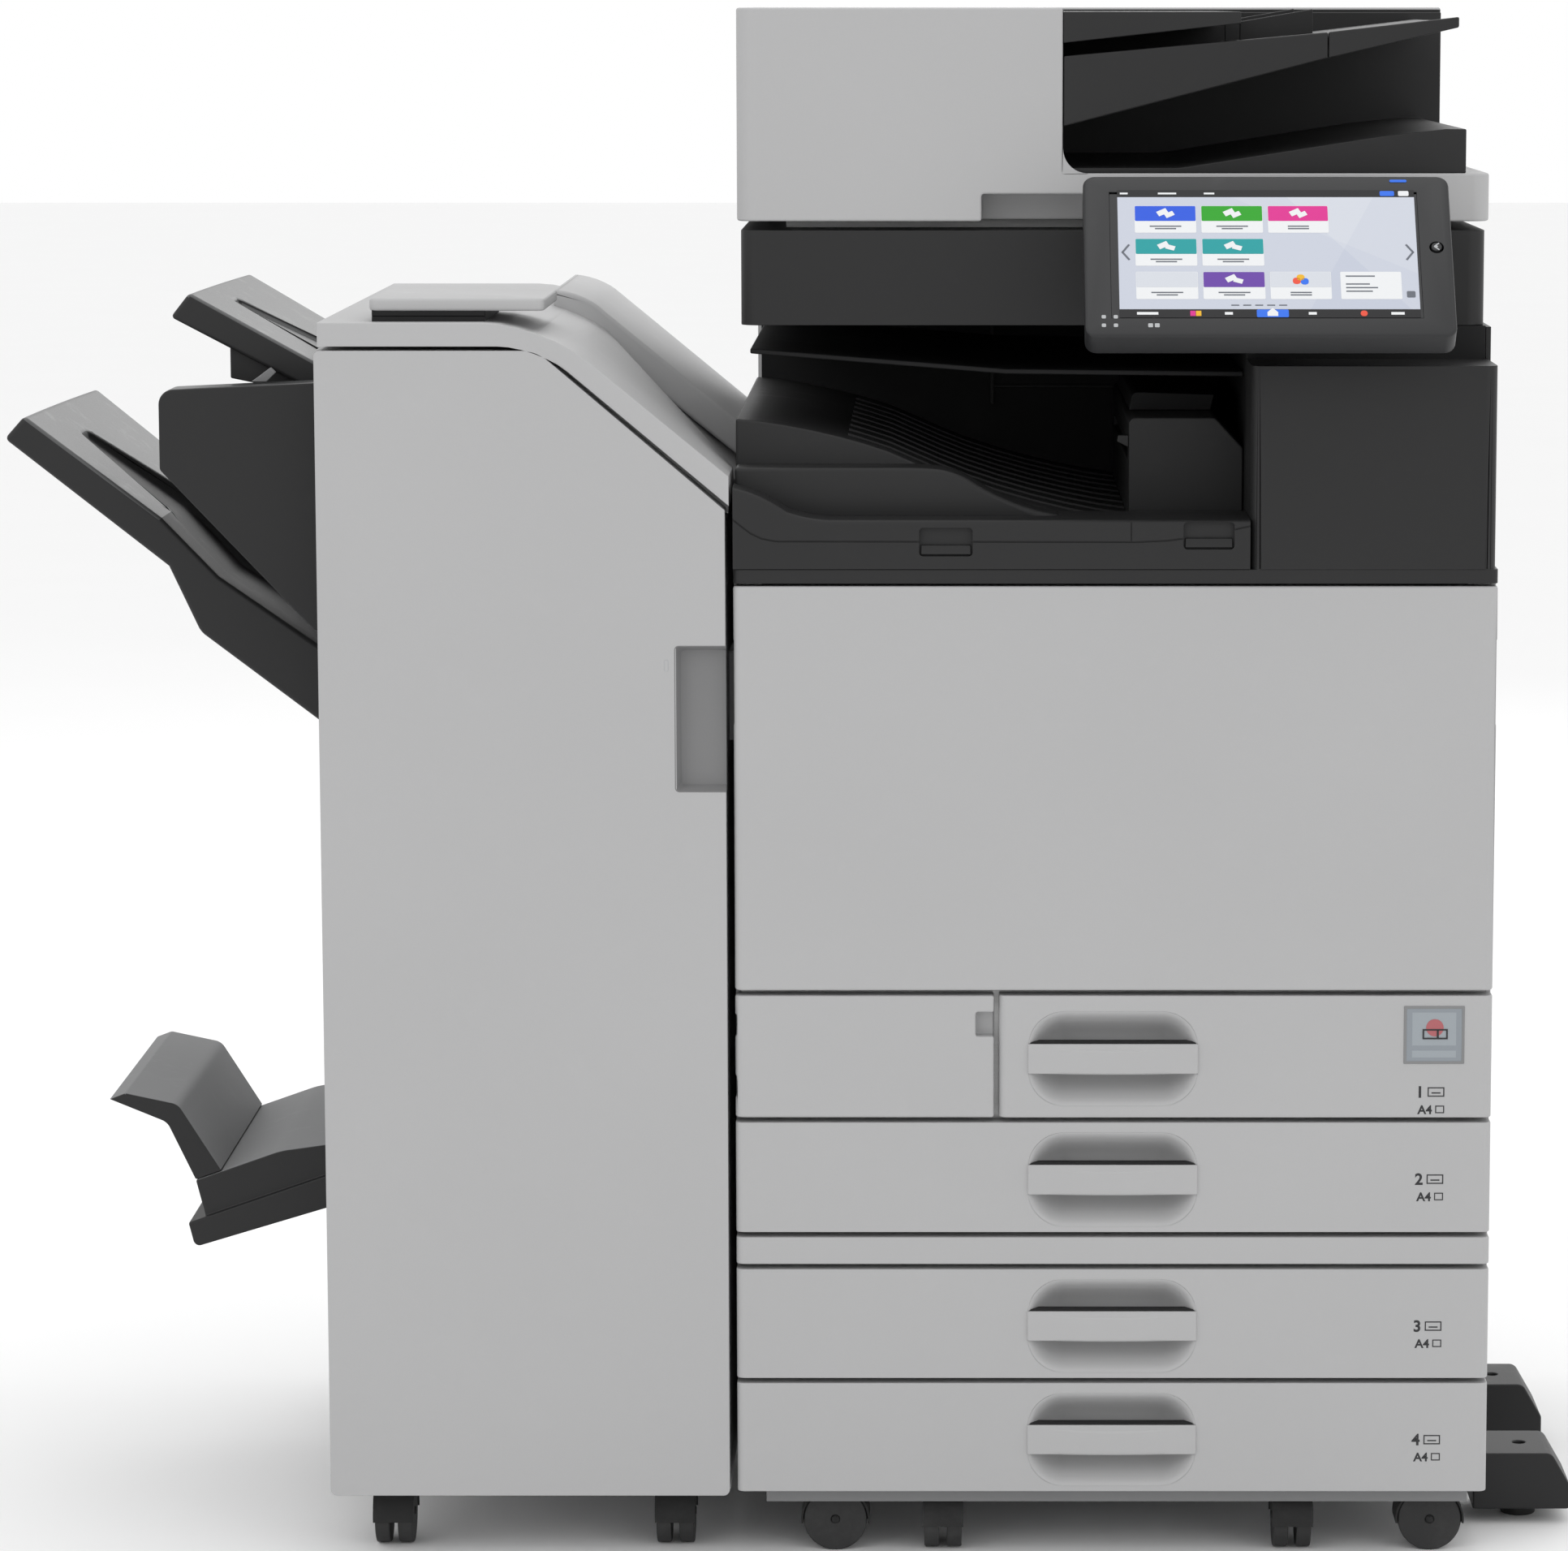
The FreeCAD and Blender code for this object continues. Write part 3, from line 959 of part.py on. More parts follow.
def finisher():
    # Housing, inner frame, door with a grip and top cover.
    y_span = (y_frame, y_back - 8)
    shell = prism("fin_shell", "XZ", finisher_profile(0, finisher_low), y_span)
    room = prism("fin_room", "XZ", finisher_profile(skin, finisher_low + skin),
                 (y_frame - 1, y_back - 8 - skin))
    y_exit = (y_front + 130, y_front + 410)
    slots = [
        block("proof_exit", (x_fin - 1, x_fin + skin + 1), y_exit, (z_fin_top - 12, z_fin_top - 6)),
        block("shift_exit", (x_fin - 1, x_fin + skin + 1), y_exit, (z_fin_top - 60, z_fin_top - 36)),
        block("booklet_exit", (x_fin - 1, x_fin + skin + 1), y_exit,
              (finisher_low + 262, finisher_low + 288)),
    ]
    sockets = [stem_hole(name, x, y, plate) for name, x, y, plate, axle,
               swivels in casters[2:4] + casters[8:]]
    post = block("fin_post", (x_fin, x_fin + 16), (y_frame, y_frame + 8), (finisher_low + 1, z_fin_top - 1))
    hollow = cut("fin_hollow", shell, [room] + slots + sockets)
    docks = [block(f"dock_{number}", (x_fin_end - 1, x_main - seat_gap), (y, y + 60),
                   (z_waist - 130, z_waist - 60))
             for number, y in enumerate((y_front + 70, y_back - 120))]
    keep("finisher_housing", fuse("fin_whole", [hollow, post] + docks + fin_ears))

    y_plate = y_frame + 24
    plate = prism("fin_plate", "XZ", finisher_profile(skin + seat_gap, finisher_low + skin + seat_gap),
                  (y_plate, y_plate + 3))
    rear = prism("fin_rear_plate", "XZ", finisher_profile(skin + seat_gap, finisher_low + skin + seat_gap),
                 (y_back - 110, y_back - 107))
    bars = [rod(f"fin_roller_{number}", "y", (x_fin + 60 + 50 * number, z_fin_top - 60 - 34 * number), 9,
                y_plate, y_back - 108) for number in range(4)]
    stapler = block("fin_stapler", (x_fin + 40, x_fin + 140), (y_plate, y_back - 108),
                    (z_fin_top - 330, z_fin_top - 250))
    folder = block("fin_folder", (x_fin + 30, x_fin + 170), (y_plate, y_back - 108),
                   (finisher_low + 230, finisher_low + 330))
    knob = rod("fin_knob", "y", (x_fin + 210, finisher_low + 420), 22, y_plate - 18, y_plate + 1)
    window = block("fin_window", (x_fin + 60, x_fin_end - 60), (y_plate - 1, y_plate + 4),
                   (finisher_low + 480, finisher_low + 540))
    frame = fuse("fin_frame_sum", [plate, rear] + bars + [stapler, folder, knob])
    keep("finisher_frame", cut("fin_frame_whole", frame, [window]))

    door = prism("fin_door", "XZ", finisher_profile(0, finisher_low), (y_front, y_front + front_thick),
                 [(24, [3]), (5, [0, 1, 4])])
    z_grip = z_fin_top - 339
    grip = block("fin_grip", (x_fin_end - grip_width, x_fin_end + 1), (y_front - 1, y_front + 13),
                 (z_grip, z_grip + grip_height))
    hollow_z = (finisher_low + 14, z_fin_top - slope_drop - 14)
    inside = block("fin_door_hollow", (x_fin + 16, x_fin_end - grip_width - 8), (y_front + 5, y_frame),
                   hollow_z)
    keep("finisher_door", cut("fin_door_whole", door, fin_cuts + [grip, inside]))

    x_end = x_fin_end + joint_gap / 2
    z_rim = z_fin_top + 3
    rim_run = slope_run + 1
    lower_end = z_fin_top - slope_drop + 3
    profile = [(x_fin + 3, z_rim), (x_fin_end - rim_run, z_rim), (x_end, lower_end),
               (x_end, lower_end + rim_height + 5),
               (x_fin_end - rim_run + 3, z_rim + rim_height), (x_fin + 3, z_rim + rim_height)]
    rim = prism("top_rim", "XZ", profile, (y_front, y_back - 8), [(24, [4])])
    slab = block("top_slab", (x_fin + 27, x_fin_end - rim_run + 6), (y_front + 150, y_back - 8),
                 (z_rim + rim_height - 1, z_rim + rim_height + 11))
    ridge = prism("top_ridge", "XZ",
                  [(x_fin_end - rim_run + 5, z_rim + rim_height - 2), (x_end - 2, lower_end + rim_height),
                   (x_end - 4, lower_end + rim_height + 17),
                   (x_fin_end - rim_run + 5, z_rim + rim_height + 11)],
                  (y_front + 330, y_back - 8))
    feet = [block(f"top_foot_{number}", (x, x + 8), (y_frame, y_back - 20),
                  (z_fin_top + seat_gap, z_rim + 1))
            for number, x in enumerate((x_fin + 12, x_fin + 120))]
    keep("finisher_top_cover", fuse("top_whole", [rim, slab, ridge] + feet))


def exit_trays():
    # Black side cover, proof tray, shift tray and booklet tray on the finisher's left.
    x_wall = x_fin - seat_gap
    y_side = y_front + 60
    top = z_fin_top - 31
    cover = prism("side_plate", "XZ",
                  [(x_wall - side_cover_reach, top - 65), (x_wall - 9, top - 190), (x_wall, top - 190),
                   (x_wall, top + 3),
                   (x_wall - side_cover_reach, top - 3)], (y_side, y_side + side_cover_depth), [(12, [4])])
    keep("tray_side_cover", cover)
    y_tray = y_side + side_cover_depth + 2
    y_span = (y_tray, y_tray + exit_tray_depth)
    proof = prism("proof_slab", "XZ",
                  [(x_wall - 122, z_fin_top + 20), (x_wall, z_fin_top - 44), (x_wall, z_fin_top - 20),
                   (x_wall - 107, z_fin_top + 39)], y_span)
    groove = prism("proof_groove", "XZ",
                   [(x_wall - 80, z_fin_top + 12), (x_wall + 5, z_fin_top - 34),
                    (x_wall + 5, z_fin_top - 10),
                    (x_wall - 80, z_fin_top + 40)], (y_tray + 110, y_tray + 180))
    bracket = prism("proof_bracket", "XZ",
                    [(x_wall - 77, z_fin_top - 28), (x_wall, z_fin_top - 44), (x_wall, z_fin_top - 30),
                     (x_wall - 77, z_fin_top + 4)], (y_tray + 10, y_tray + exit_tray_depth - 10))
    keep("proof_tray", fuse("proof_whole", [cut("proof_cut", proof, [groove]), bracket]))
    tip = tray_reach - seat_gap
    shift = prism("shift_slab", "XZ",
                  [(x_wall - tip, z_fin_top - 75), (x_wall - 127, z_fin_top - 175),
                   (x_wall - 103, z_fin_top - 227),
                   (x_wall, z_fin_top - 305), (x_wall, z_fin_top - 244), (x_wall - 88, z_fin_top - 183),
                   (x_wall - 132, z_fin_top - 137), (x_wall - tip + 16, z_fin_top - 57)], y_span,
                  [(30, [5, 6])])
    channel = prism("shift_groove", "XZ",
                    [(x_wall - 200, z_fin_top - 108), (x_wall - 130, z_fin_top - 160),
                     (x_wall - 80, z_fin_top - 200),
                     (x_wall + 5, z_fin_top - 262), (x_wall + 5, z_fin_top - 180),
                     (x_wall - 190, z_fin_top - 60)],
                    (y_tray + 110, y_tray + 180))
    keep("shift_tray", cut("shift_whole", shift, [channel]))
    z_book = finisher_low + 172
    base = prism("booklet_base", "XZ",
                 [(x_wall - 119, z_book), (x_wall, z_book + 36), (x_wall, z_book + 63),
                  (x_wall - 124, z_book + 20)],
                 (y_tray + 20, y_tray + 300), [(5, [0])])
    bed = prism("booklet_bed", "XZ",
                [(x_wall - 110, z_book + 22), (x_wall, z_book + 60), (x_wall, z_book + 85),
                 (x_wall - 50, z_book + 78),
                 (x_wall - 118, z_book + 54)], (y_tray + 24, y_tray + 296), [(60, [3])])
    keep("booklet_tray", fuse("booklet_whole", [base, bed]))
    flap = prism("stopper_flap", "XZ",
                 [(x_wall - 118, z_book + 54.4), (x_wall - 97, z_book + 61.8), (x_wall - 131, z_book + 116),
                  (x_wall - 173, z_book + 125), (x_wall - 186, z_book + 120), (x_wall - 140, z_book + 101)],
                 (y_tray + 24, y_tray + 296), [(12, [2, 5])])
    keep("booklet_stopper", flap)


chassis()
base_frame()
all_casters()
anti_tip_feet()
side_covers()
fronts()
upper_front()
output_area()
scanner()
control_panel()
feeder()
engine()
right_side()
finisher()
exit_trays()
doc.recompute()

faults = [item.Name for item in doc.Objects if "Invalid" in item.State or "Error" in item.State]
for label, piece in nodes.items():
    if piece.Shape.isNull() or not piece.Shape.isValid() or not piece.Shape.Solids:
        faults.append(label)
if faults:
    raise SystemExit("failed: " + ", ".join(faults))
for label, piece in nodes.items():
    piece.Shape.exportStep(f"parts/{label}.step")
print(len(nodes), "nodes written")
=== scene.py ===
import json
import math

import bmesh
import bpy
from mathutils import Matrix, Vector


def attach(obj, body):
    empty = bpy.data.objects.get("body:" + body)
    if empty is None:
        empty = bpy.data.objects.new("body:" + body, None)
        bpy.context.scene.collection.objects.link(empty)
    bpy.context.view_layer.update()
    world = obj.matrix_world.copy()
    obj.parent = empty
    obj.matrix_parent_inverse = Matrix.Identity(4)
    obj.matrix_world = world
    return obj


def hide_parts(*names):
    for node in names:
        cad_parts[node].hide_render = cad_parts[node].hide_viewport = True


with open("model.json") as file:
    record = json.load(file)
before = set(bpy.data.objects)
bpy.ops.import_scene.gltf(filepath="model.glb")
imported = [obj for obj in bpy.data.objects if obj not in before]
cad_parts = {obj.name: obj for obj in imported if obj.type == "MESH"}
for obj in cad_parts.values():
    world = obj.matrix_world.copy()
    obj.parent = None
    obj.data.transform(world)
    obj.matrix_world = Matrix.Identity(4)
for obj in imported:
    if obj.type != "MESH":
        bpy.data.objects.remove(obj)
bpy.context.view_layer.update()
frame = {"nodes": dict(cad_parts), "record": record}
print("frame loaded:", len(frame["nodes"]), "nodes")


# Picking and shaping, as by hand
overrun = 0.001  # how far a cutter stands out of the face it cuts

def clearPick():
    if bpy.context.object and bpy.context.object.mode != "OBJECT":
        bpy.ops.object.mode_set(mode="OBJECT")
    bpy.ops.object.select_all(action="DESELECT")


def activate(piece):
    clearPick()
    piece.select_set(True)
    bpy.context.view_layer.objects.active = piece


def settle(piece, name=None):
    # Puts the place, turn and size of a piece into its mesh.
    activate(piece)
    bpy.ops.object.transform_apply(location=True, rotation=True, scale=True)
    if name:
        piece.name = piece.data.name = name
    return piece


def addBox(name, low, high):
    clearPick()
    low, high = Vector(low), Vector(high)
    bpy.ops.mesh.primitive_cube_add(size=1, location=(low + high) / 2)
    piece = bpy.context.object
    piece.scale = high - low
    return settle(piece, name)


def addRod(name, start, end, radius, sides=32, tip=None):
    # A round bar from one point to another, tapered when tip is given.
    clearPick()
    start, end = Vector(start), Vector(end)
    along = end - start
    bpy.ops.mesh.primitive_cone_add(vertices=sides, radius1=radius, radius2=radius if tip is None else tip,
                                    depth=along.length, location=(start + end) / 2,
                                    rotation=along.to_track_quat("Z", "Y").to_euler())
    return settle(bpy.context.object, name)


def pick(piece, kind, test):
    # Enters edit mode with the faces or edges that pass the test selected.
    activate(piece)
    mesh = piece.data
    for part in (mesh.vertices, mesh.edges, mesh.polygons):
        part.foreach_set("select", [False] * len(part))
    if kind == "FACE":
        for face in mesh.polygons:
            face.select = test(face.center, face.normal)
    else:
        for edge in mesh.edges:
            ends = [mesh.vertices[v].co for v in edge.vertices]
            edge.select = test((ends[0] + ends[1]) / 2, (ends[1] - ends[0]).normalized())
    bpy.context.tool_settings.mesh_select_mode = (False, kind == "EDGE", kind == "FACE")
    bpy.ops.object.mode_set(mode="EDIT")


def leave(piece):
    bpy.ops.object.mode_set(mode="OBJECT")
    return piece


def roundEdges(piece, test, width, segments=4):
    pick(piece, "EDGE", test)
    bpy.ops.mesh.bevel(offset=width, segments=segments, affect="EDGES", clamp_overlap=True)
    return leave(piece)


def insetFace(piece, test, thickness, depth=0.0):
    pick(piece, "FACE", test)
    bpy.ops.mesh.inset(thickness=thickness, depth=depth)
    return leave(piece)


def alongX(middle, direction):
    return abs(direction.x) > 0.99


def alongY(middle, direction):
    return abs(direction.y) > 0.99


def alongZ(middle, direction):
    return abs(direction.z) > 0.99


def facingFront(place, normal):
    return normal.y < -0.9


def facingUp(place, normal):
    return normal.z > 0.9


def everyFace(place, normal):
    return True


def outward(piece, merge=1e-5):
    pick(piece, "FACE", everyFace)
    bpy.ops.mesh.remove_doubles(threshold=merge)
    bpy.ops.mesh.normals_make_consistent(inside=False)
    return leave(piece)


def applied(piece, kind, **settings):
    activate(piece)
    modifier = piece.modifiers.new(kind.title(), kind)
    for key, value in settings.items():
        setattr(modifier, key, value)
    bpy.ops.object.modifier_apply(modifier=modifier.name)
    return piece


def smooth(piece, angle=35):
    activate(piece)
    bpy.ops.object.shade_smooth_by_angle(angle=math.radians(angle))
    return piece


def soften(piece, width, segments=3, angle=30, weighted=True):
    # A rounded edge wherever two faces meet sharply.
    applied(piece, "BEVEL", width=width, segments=segments, limit_method="ANGLE",
            angle_limit=math.radians(angle),
            use_clamp_overlap=False, miter_outer="MITER_ARC")
    smooth(piece, 40)
    if weighted:
        applied(piece, "WEIGHTED_NORMAL", keep_sharp=True)
    return piece


def carve(piece, *tools):
    for tool in tools:
        applied(piece, "BOOLEAN", operation="DIFFERENCE", object=tool, solver="EXACT")
        bpy.data.objects.remove(tool)
    return piece


def joined(name, pieces):
    clearPick()
    for piece in pieces:
        piece.select_set(True)
    bpy.context.view_layer.objects.active = pieces[0]
    if len(pieces) > 1:
        bpy.ops.object.join()
    piece = bpy.context.object
    piece.name = piece.data.name = name
    return piece


def profile(name, points, plane, span, rounds=()):
    # A closed outline drawn point by point, filled, then pulled along its normal.
    clearPick()
    axes = {"XZ": (0, 2, 1), "YZ": (1, 2, 0), "XY": (0, 1, 2)}[plane]

    def place(point):
        spot = [0.0, 0.0, 0.0]
        spot[axes[0]], spot[axes[1]], spot[axes[2]] = point[0], point[1], span[0]
        return Vector(spot)

    spots = [place(point) for point in points]
    bpy.ops.mesh.primitive_plane_add(size=0.001, location=spots[0])
    piece = settle(bpy.context.object, name)
    bpy.ops.object.mode_set(mode="EDIT")
    bpy.ops.mesh.select_mode(type="VERT")
    bpy.ops.mesh.select_all(action="SELECT")
    bpy.ops.mesh.merge(type="CENTER")
    for before, after in zip(spots, spots[1:]):
        bpy.ops.mesh.extrude_vertices_move(TRANSFORM_OT_translate={"value": after - before})
    bpy.ops.mesh.select_all(action="SELECT")
    bpy.ops.mesh.edge_face_add()
    pull = [0.0, 0.0, 0.0]
    pull[axes[2]] = span[1] - span[0]
    bpy.ops.mesh.extrude_region_move(TRANSFORM_OT_translate={"value": pull})
    leave(piece)
    for width, spot in rounds:
        corner = place(spot)
        along = Vector(pull).normalized()

        def nearCorner(middle, direction):
            offset = middle - corner
            return abs(direction.dot(along)) > 0.99 and (offset - along * offset.dot(along)).length < 5e-4
        roundEdges(piece, nearCorner, width, 6)
    return outward(piece)


def volumeOf(piece):
    shape = bmesh.new()
    shape.from_mesh(piece.data)
    amount = shape.calc_volume()
    shape.free()
    return amount


def areaOf(piece):
    piece.data.calc_loop_triangles()
    return sum(triangle.area for triangle in piece.data.loop_triangles)


def freeCopy(source, merged):
    # A loose copy of a CAD node with its faces joined up, and flat ones merged.
    piece = source.copy()
    piece.data = source.data.copy()
    piece.parent = None
    bpy.context.collection.objects.link(piece)
    activate(piece)
    piece.data.materials.clear()
    pick(piece, "FACE", everyFace)
    bpy.ops.mesh.remove_doubles(threshold=1e-5)
    if merged:
        bpy.ops.mesh.dissolve_limited(angle_limit=math.radians(0.5))
    leave(piece)
    return piece


easing = {"tries": [(1.0, True), (0.6, True), (0.3, True), (1.0, False), (0.5, False), (0.25, False)],
          "volumeSlack": 0.04, "areaSlack": 1.002, "growthSlack": 2e-4}


def refined(node, width, segments=2):
    # The CAD node's own shape with its edges eased. Narrower easing is tried where a corner is too tight,
    # and unmerged faces where a merged one folds over itself.
    source = frame["nodes"][node]
    for share, merged in easing["tries"]:
        piece = freeCopy(source, merged)
        area, volume = areaOf(source), volumeOf(piece)
        low, high = boundsOf(piece)
        soften(piece, width * share, segments)
        newLow, newHigh = boundsOf(piece)
        grown = max(max(low - newLow), max(newHigh - high))
        keptVolume = abs(volumeOf(piece) - volume) < easing["volumeSlack"] * abs(volume)
        if keptVolume and grown < easing["growthSlack"] and areaOf(piece) < easing["areaSlack"] * area:
            return settle(piece, f"{node}.skin")
        bpy.data.objects.remove(piece)
    return settle(smooth(freeCopy(source, False), 30), f"{node}.skin")


def boundsOf(piece):
    spots = [v.co for v in piece.data.vertices]
    return (Vector([min(s[i] for s in spots) for i in range(3)]),
            Vector([max(s[i] for s in spots) for i in range(3)]))


def give(piece, finish, body, slotName, replaced=()):
    # The finish, the body it rides on, and the CAD nodes it stands for.
    if finish is not None:
        piece.data.materials.clear()
        piece.data.materials.append(finish.material)
    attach(piece, body)
    if replaced:
        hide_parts(*replaced)
    return piece


nodeBody = {node: body for body, nodes in frame["record"]["behaviour"]["bodies"].items() for node in nodes}


# Finishes

class Sock:
    # A socket that can be used in ordinary arithmetic; each operation adds its Math node.
    def __init__(self, socket):
        self.socket = socket

    def math(self, operation, other=None, flipped=False):
        tree = self.socket.id_data
        node = tree.nodes.new("ShaderNodeMath")
        node.operation = operation
        for place, item in zip(node.inputs, (other, self) if flipped else (self, other)):
            if isinstance(item, Sock):
                tree.links.new(item.socket, place)
            elif item is not None:
                place.default_value = item
        return Sock(node.outputs[0])

    def __add__(self, other):
        return self.math("ADD", other)

    def __sub__(self, other):
        return self.math("SUBTRACT", other)

    def __rsub__(self, other):
        return self.math("SUBTRACT", other, True)

    def __mul__(self, other):
        return self.math("MULTIPLY", other)

    def __gt__(self, other):
        return self.math("GREATER_THAN", other)

    __radd__ = __add__
    __rmul__ = __mul__


class Finish:
    # A procedural finish around one Principled shader.
    def __init__(self, name, **fixed):
        self.material = bpy.data.materials.new(name)
        self.material.use_nodes = True
        self.tree = self.material.node_tree
        self.shader = self.tree.nodes["Principled BSDF"]
        for key, value in fixed.items():
            self.shader.inputs[key.replace("_", " ")].default_value = value
        self.place = self.make("ShaderNodeTexCoord", out="Object")

    def make(self, kind, settings=None, sockets=None, out=0):
        node = self.tree.nodes.new(kind)
        for key, value in (settings or {}).items():
            setattr(node, key, value)
        for key, value in (sockets or {}).items():
            if isinstance(value, Sock):
                self.tree.links.new(value.socket, node.inputs[key])
            else:
                node.inputs[key].default_value = value
        return Sock(node.outputs[out])

    def put(self, **links):
        for key, value in links.items():
            self.tree.links.new(value.socket, self.shader.inputs[key.replace("_", " ")])

    def noise(self, scale, detail=2.0, roughness=0.5, stretch=None):
        place = self.place
        if stretch:
            place = self.make("ShaderNodeMapping", None, {"Vector": place, "Scale": stretch})
        return self.make("ShaderNodeTexNoise", None, {"Vector": place, "Scale": scale, "Detail": detail,
                                                      "Roughness": roughness})

    def mix(self, share, first, second):
        return self.make("ShaderNodeMix", {"data_type": "RGBA"}, {0: share, 6: first, 7: second}, out=2)

    def bump(self, height, distance, strength=1.0):
        return self.make("ShaderNodeBump", None, {"Height": height, "Distance": distance,
                                                  "Strength": strength})


def grey(level, alpha=1.0):
    return (level, level, level, alpha)


def mouldedPlastic(name, colour, setup):
    # Fine spark-eroded grain, faint flow clouds, rubbed patches and a little dust in the grain.
    look = {"grainScale": 1500, "grainDepth": 0.00005, "rough": 0.5, "roughSpread": 0.12, "cloud": 0.05,
            "scuff": 0.04, "specular": 0.4, "speck": 0.35, "grainStrength": 0.6}
    look.update(setup)
    finish = Finish(name, Specular_IOR_Level=look["specular"])
    grain = finish.noise(look["grainScale"], 2, 0.6)
    cloud = finish.noise(4.5, 3, 0.55)
    rub = finish.make("ShaderNodeMapRange", None, {"Value": finish.noise(38, 5, 0.7), "From Min": 0.56,
                                                   "From Max": 0.78})
    dark = tuple(c * (1 - look["cloud"]) for c in colour[:3]) + (1,)
    light = tuple(min(1, c * (1 + look["cloud"])) for c in colour[:3]) + (1,)
    base = finish.mix(cloud, dark, light)
    speck = (grain - 0.5) * look["speck"] + 0.5
    base = finish.make("ShaderNodeMix", {"data_type": "RGBA", "blend_type": "MULTIPLY"},
                       {0: 1.0, 6: base, 7: finish.mix(speck, grey(0.86), grey(1.14))}, out=2)
    worn = finish.mix(rub * look["scuff"], base, tuple(min(1, c * 1.3 + 0.012) for c in colour[:3]) + (1,))
    finish.put(Base_Color=worn,
               Roughness=grain * look["roughSpread"] + (look["rough"] - look["roughSpread"] / 2)
               - rub * 0.08, Normal=finish.bump(grain, look["grainDepth"], look["grainStrength"]))
    return finish


# The "tray" grey is the colour of a painted sheen of the top light on black tray tops.
coverColours = {"light": (0.41, 0.41, 0.413, 1), "black": (0.0166, 0.0166, 0.017, 1),
                "tray": (0.2, 0.202, 0.205, 1), "bezel": (0.016, 0.0164, 0.0176, 1),
                "strip": (0.21, 0.212, 0.215, 1),
                "pad": (0.86, 0.86, 0.85, 1), "unit": (0.04, 0.042, 0.047, 1),
                "cavity": (0.013, 0.013, 0.0135, 1)}
coverLight = mouldedPlastic("coverLight", coverColours["light"],
                            {"rough": 0.52, "speck": 0.25, "cloud": 0.025})
coverBlack = mouldedPlastic("coverBlack", coverColours["black"],
                            {"rough": 0.48, "specular": 0.3, "scuff": 0.05, "cloud": 0.08})
cavityBlack = mouldedPlastic("cavityBlack", coverColours["cavity"],
                             {"rough": 0.55, "specular": 0.2, "scuff": 0.05, "cloud": 0.1})
# A lighter grey: the painted sheen of the top light on black booklet tray tops, and the colour of the side
# cover lug.
sheenAndLugGrey = mouldedPlastic("sheenAndLugGrey", coverColours["tray"],
                          {"rough": 0.6, "speck": 0.8, "grainScale": 900, "grainDepth": 0.0001})
bezelDark = mouldedPlastic("bezelDark", coverColours["bezel"],
                           {"rough": 0.42, "grainScale": 2600, "scuff": 0.03})
stripGrey = mouldedPlastic("stripGrey", coverColours["strip"], {"rough": 0.55})
padWhite = mouldedPlastic("padWhite", coverColours["pad"], {"rough": 0.7, "grainScale": 600, "scuff": 0.02})
unitDark = mouldedPlastic("unitDark", coverColours["unit"], {"rough": 0.45, "scuff": 0.08})
leverGreen = mouldedPlastic("leverGreen", (0.03, 0.3, 0.16, 1), {"rough": 0.4})
bottleColours = {"yellow": (0.75, 0.55, 0.03, 1), "magenta": (0.55, 0.03, 0.2, 1),
                 "cyan": (0.02, 0.28, 0.52, 1),
                 "black": (0.03, 0.03, 0.032, 1)}
bottleFinishes = [mouldedPlastic("bottle" + key.title(), colour,
                                 {"rough": 0.35, "grainScale": 700, "cloud": 0.08})
                  for key, colour in bottleColours.items()]


def rubberFinish(name, level, rough=0.75):
    finish = Finish(name, Specular_IOR_Level=0.3)
    pores = finish.noise(700, 3, 0.7)
    dust = finish.make("ShaderNodeMapRange", None,
                       {"Value": finish.noise(22, 5, 0.75), "From Min": 0.45, "From Max": 0.8})
    base = finish.mix(dust * 0.35, grey(level), grey(level * 2.2 + 0.02))
    finish.put(Base_Color=base, Roughness=pores * 0.15 + rough - 0.07 + dust * 0.05,
               Normal=finish.bump(pores, 0.00008, 0.5))
    return finish


def steelFinish(name, level):
    # Galvanised sheet: soft-edged spangles and faint rolling lines.
    finish = Finish(name, Metallic=0.85, Specular_IOR_Level=0.5)
    spangle = finish.make("ShaderNodeTexVoronoi", {"feature": "F1"}, {"Vector": finish.place, "Scale": 90},
                          out="Color")
    shade = finish.make("ShaderNodeSeparateColor", None, {"Color": spangle})
    rolled = finish.noise(60, 3, 0.6, (1, 1, 18))
    tone = shade * 0.5 + rolled * 0.5
    finish.put(Base_Color=finish.mix(tone, grey(level * 0.8), grey(level * 1.2)), Roughness=tone * 0.2 + 0.3,
               Normal=finish.bump(rolled, 0.00005, 0.4))
    return finish


rubberBlack = rubberFinish("rubberBlack", 0.02)
wheelTread = rubberFinish("wheelTread", 0.03, 0.6)
rollerRubber = rubberFinish("rollerRubber", 0.11, 0.8)
frameSteel = steelFinish("frameSteel", 0.5)
pinSteel = steelFinish("pinSteel", 0.62)


def paperFinish():
    # Cut sheets seen from above, with the stack's edges showing as fine lines.
    finish = Finish("paperStack", Specular_IOR_Level=0.2)
    edges = finish.noise(30, 2, 0.5, (1, 1, 120))
    fibre = finish.noise(1800, 3, 0.6)
    finish.put(Base_Color=finish.mix(edges * 0.6, (0.82, 0.82, 0.8, 1), (0.92, 0.92, 0.91, 1)),
               Roughness=fibre * 0.1 + 0.75, Normal=finish.bump(edges, 0.0002, 0.5))
    return finish


def glassFinish(name, tint, alpha, rough):
    finish = Finish(name, Specular_IOR_Level=0.5, IOR=1.5)
    smear = finish.noise(5, 2, 0.5)
    finish.put(Base_Color=finish.mix(smear * 0.06, tint, grey(0.9)), Roughness=smear * 0.02 + rough,
               Alpha=smear * 0.01 + alpha)
    finish.material.surface_render_method = "DITHERED"
    return finish


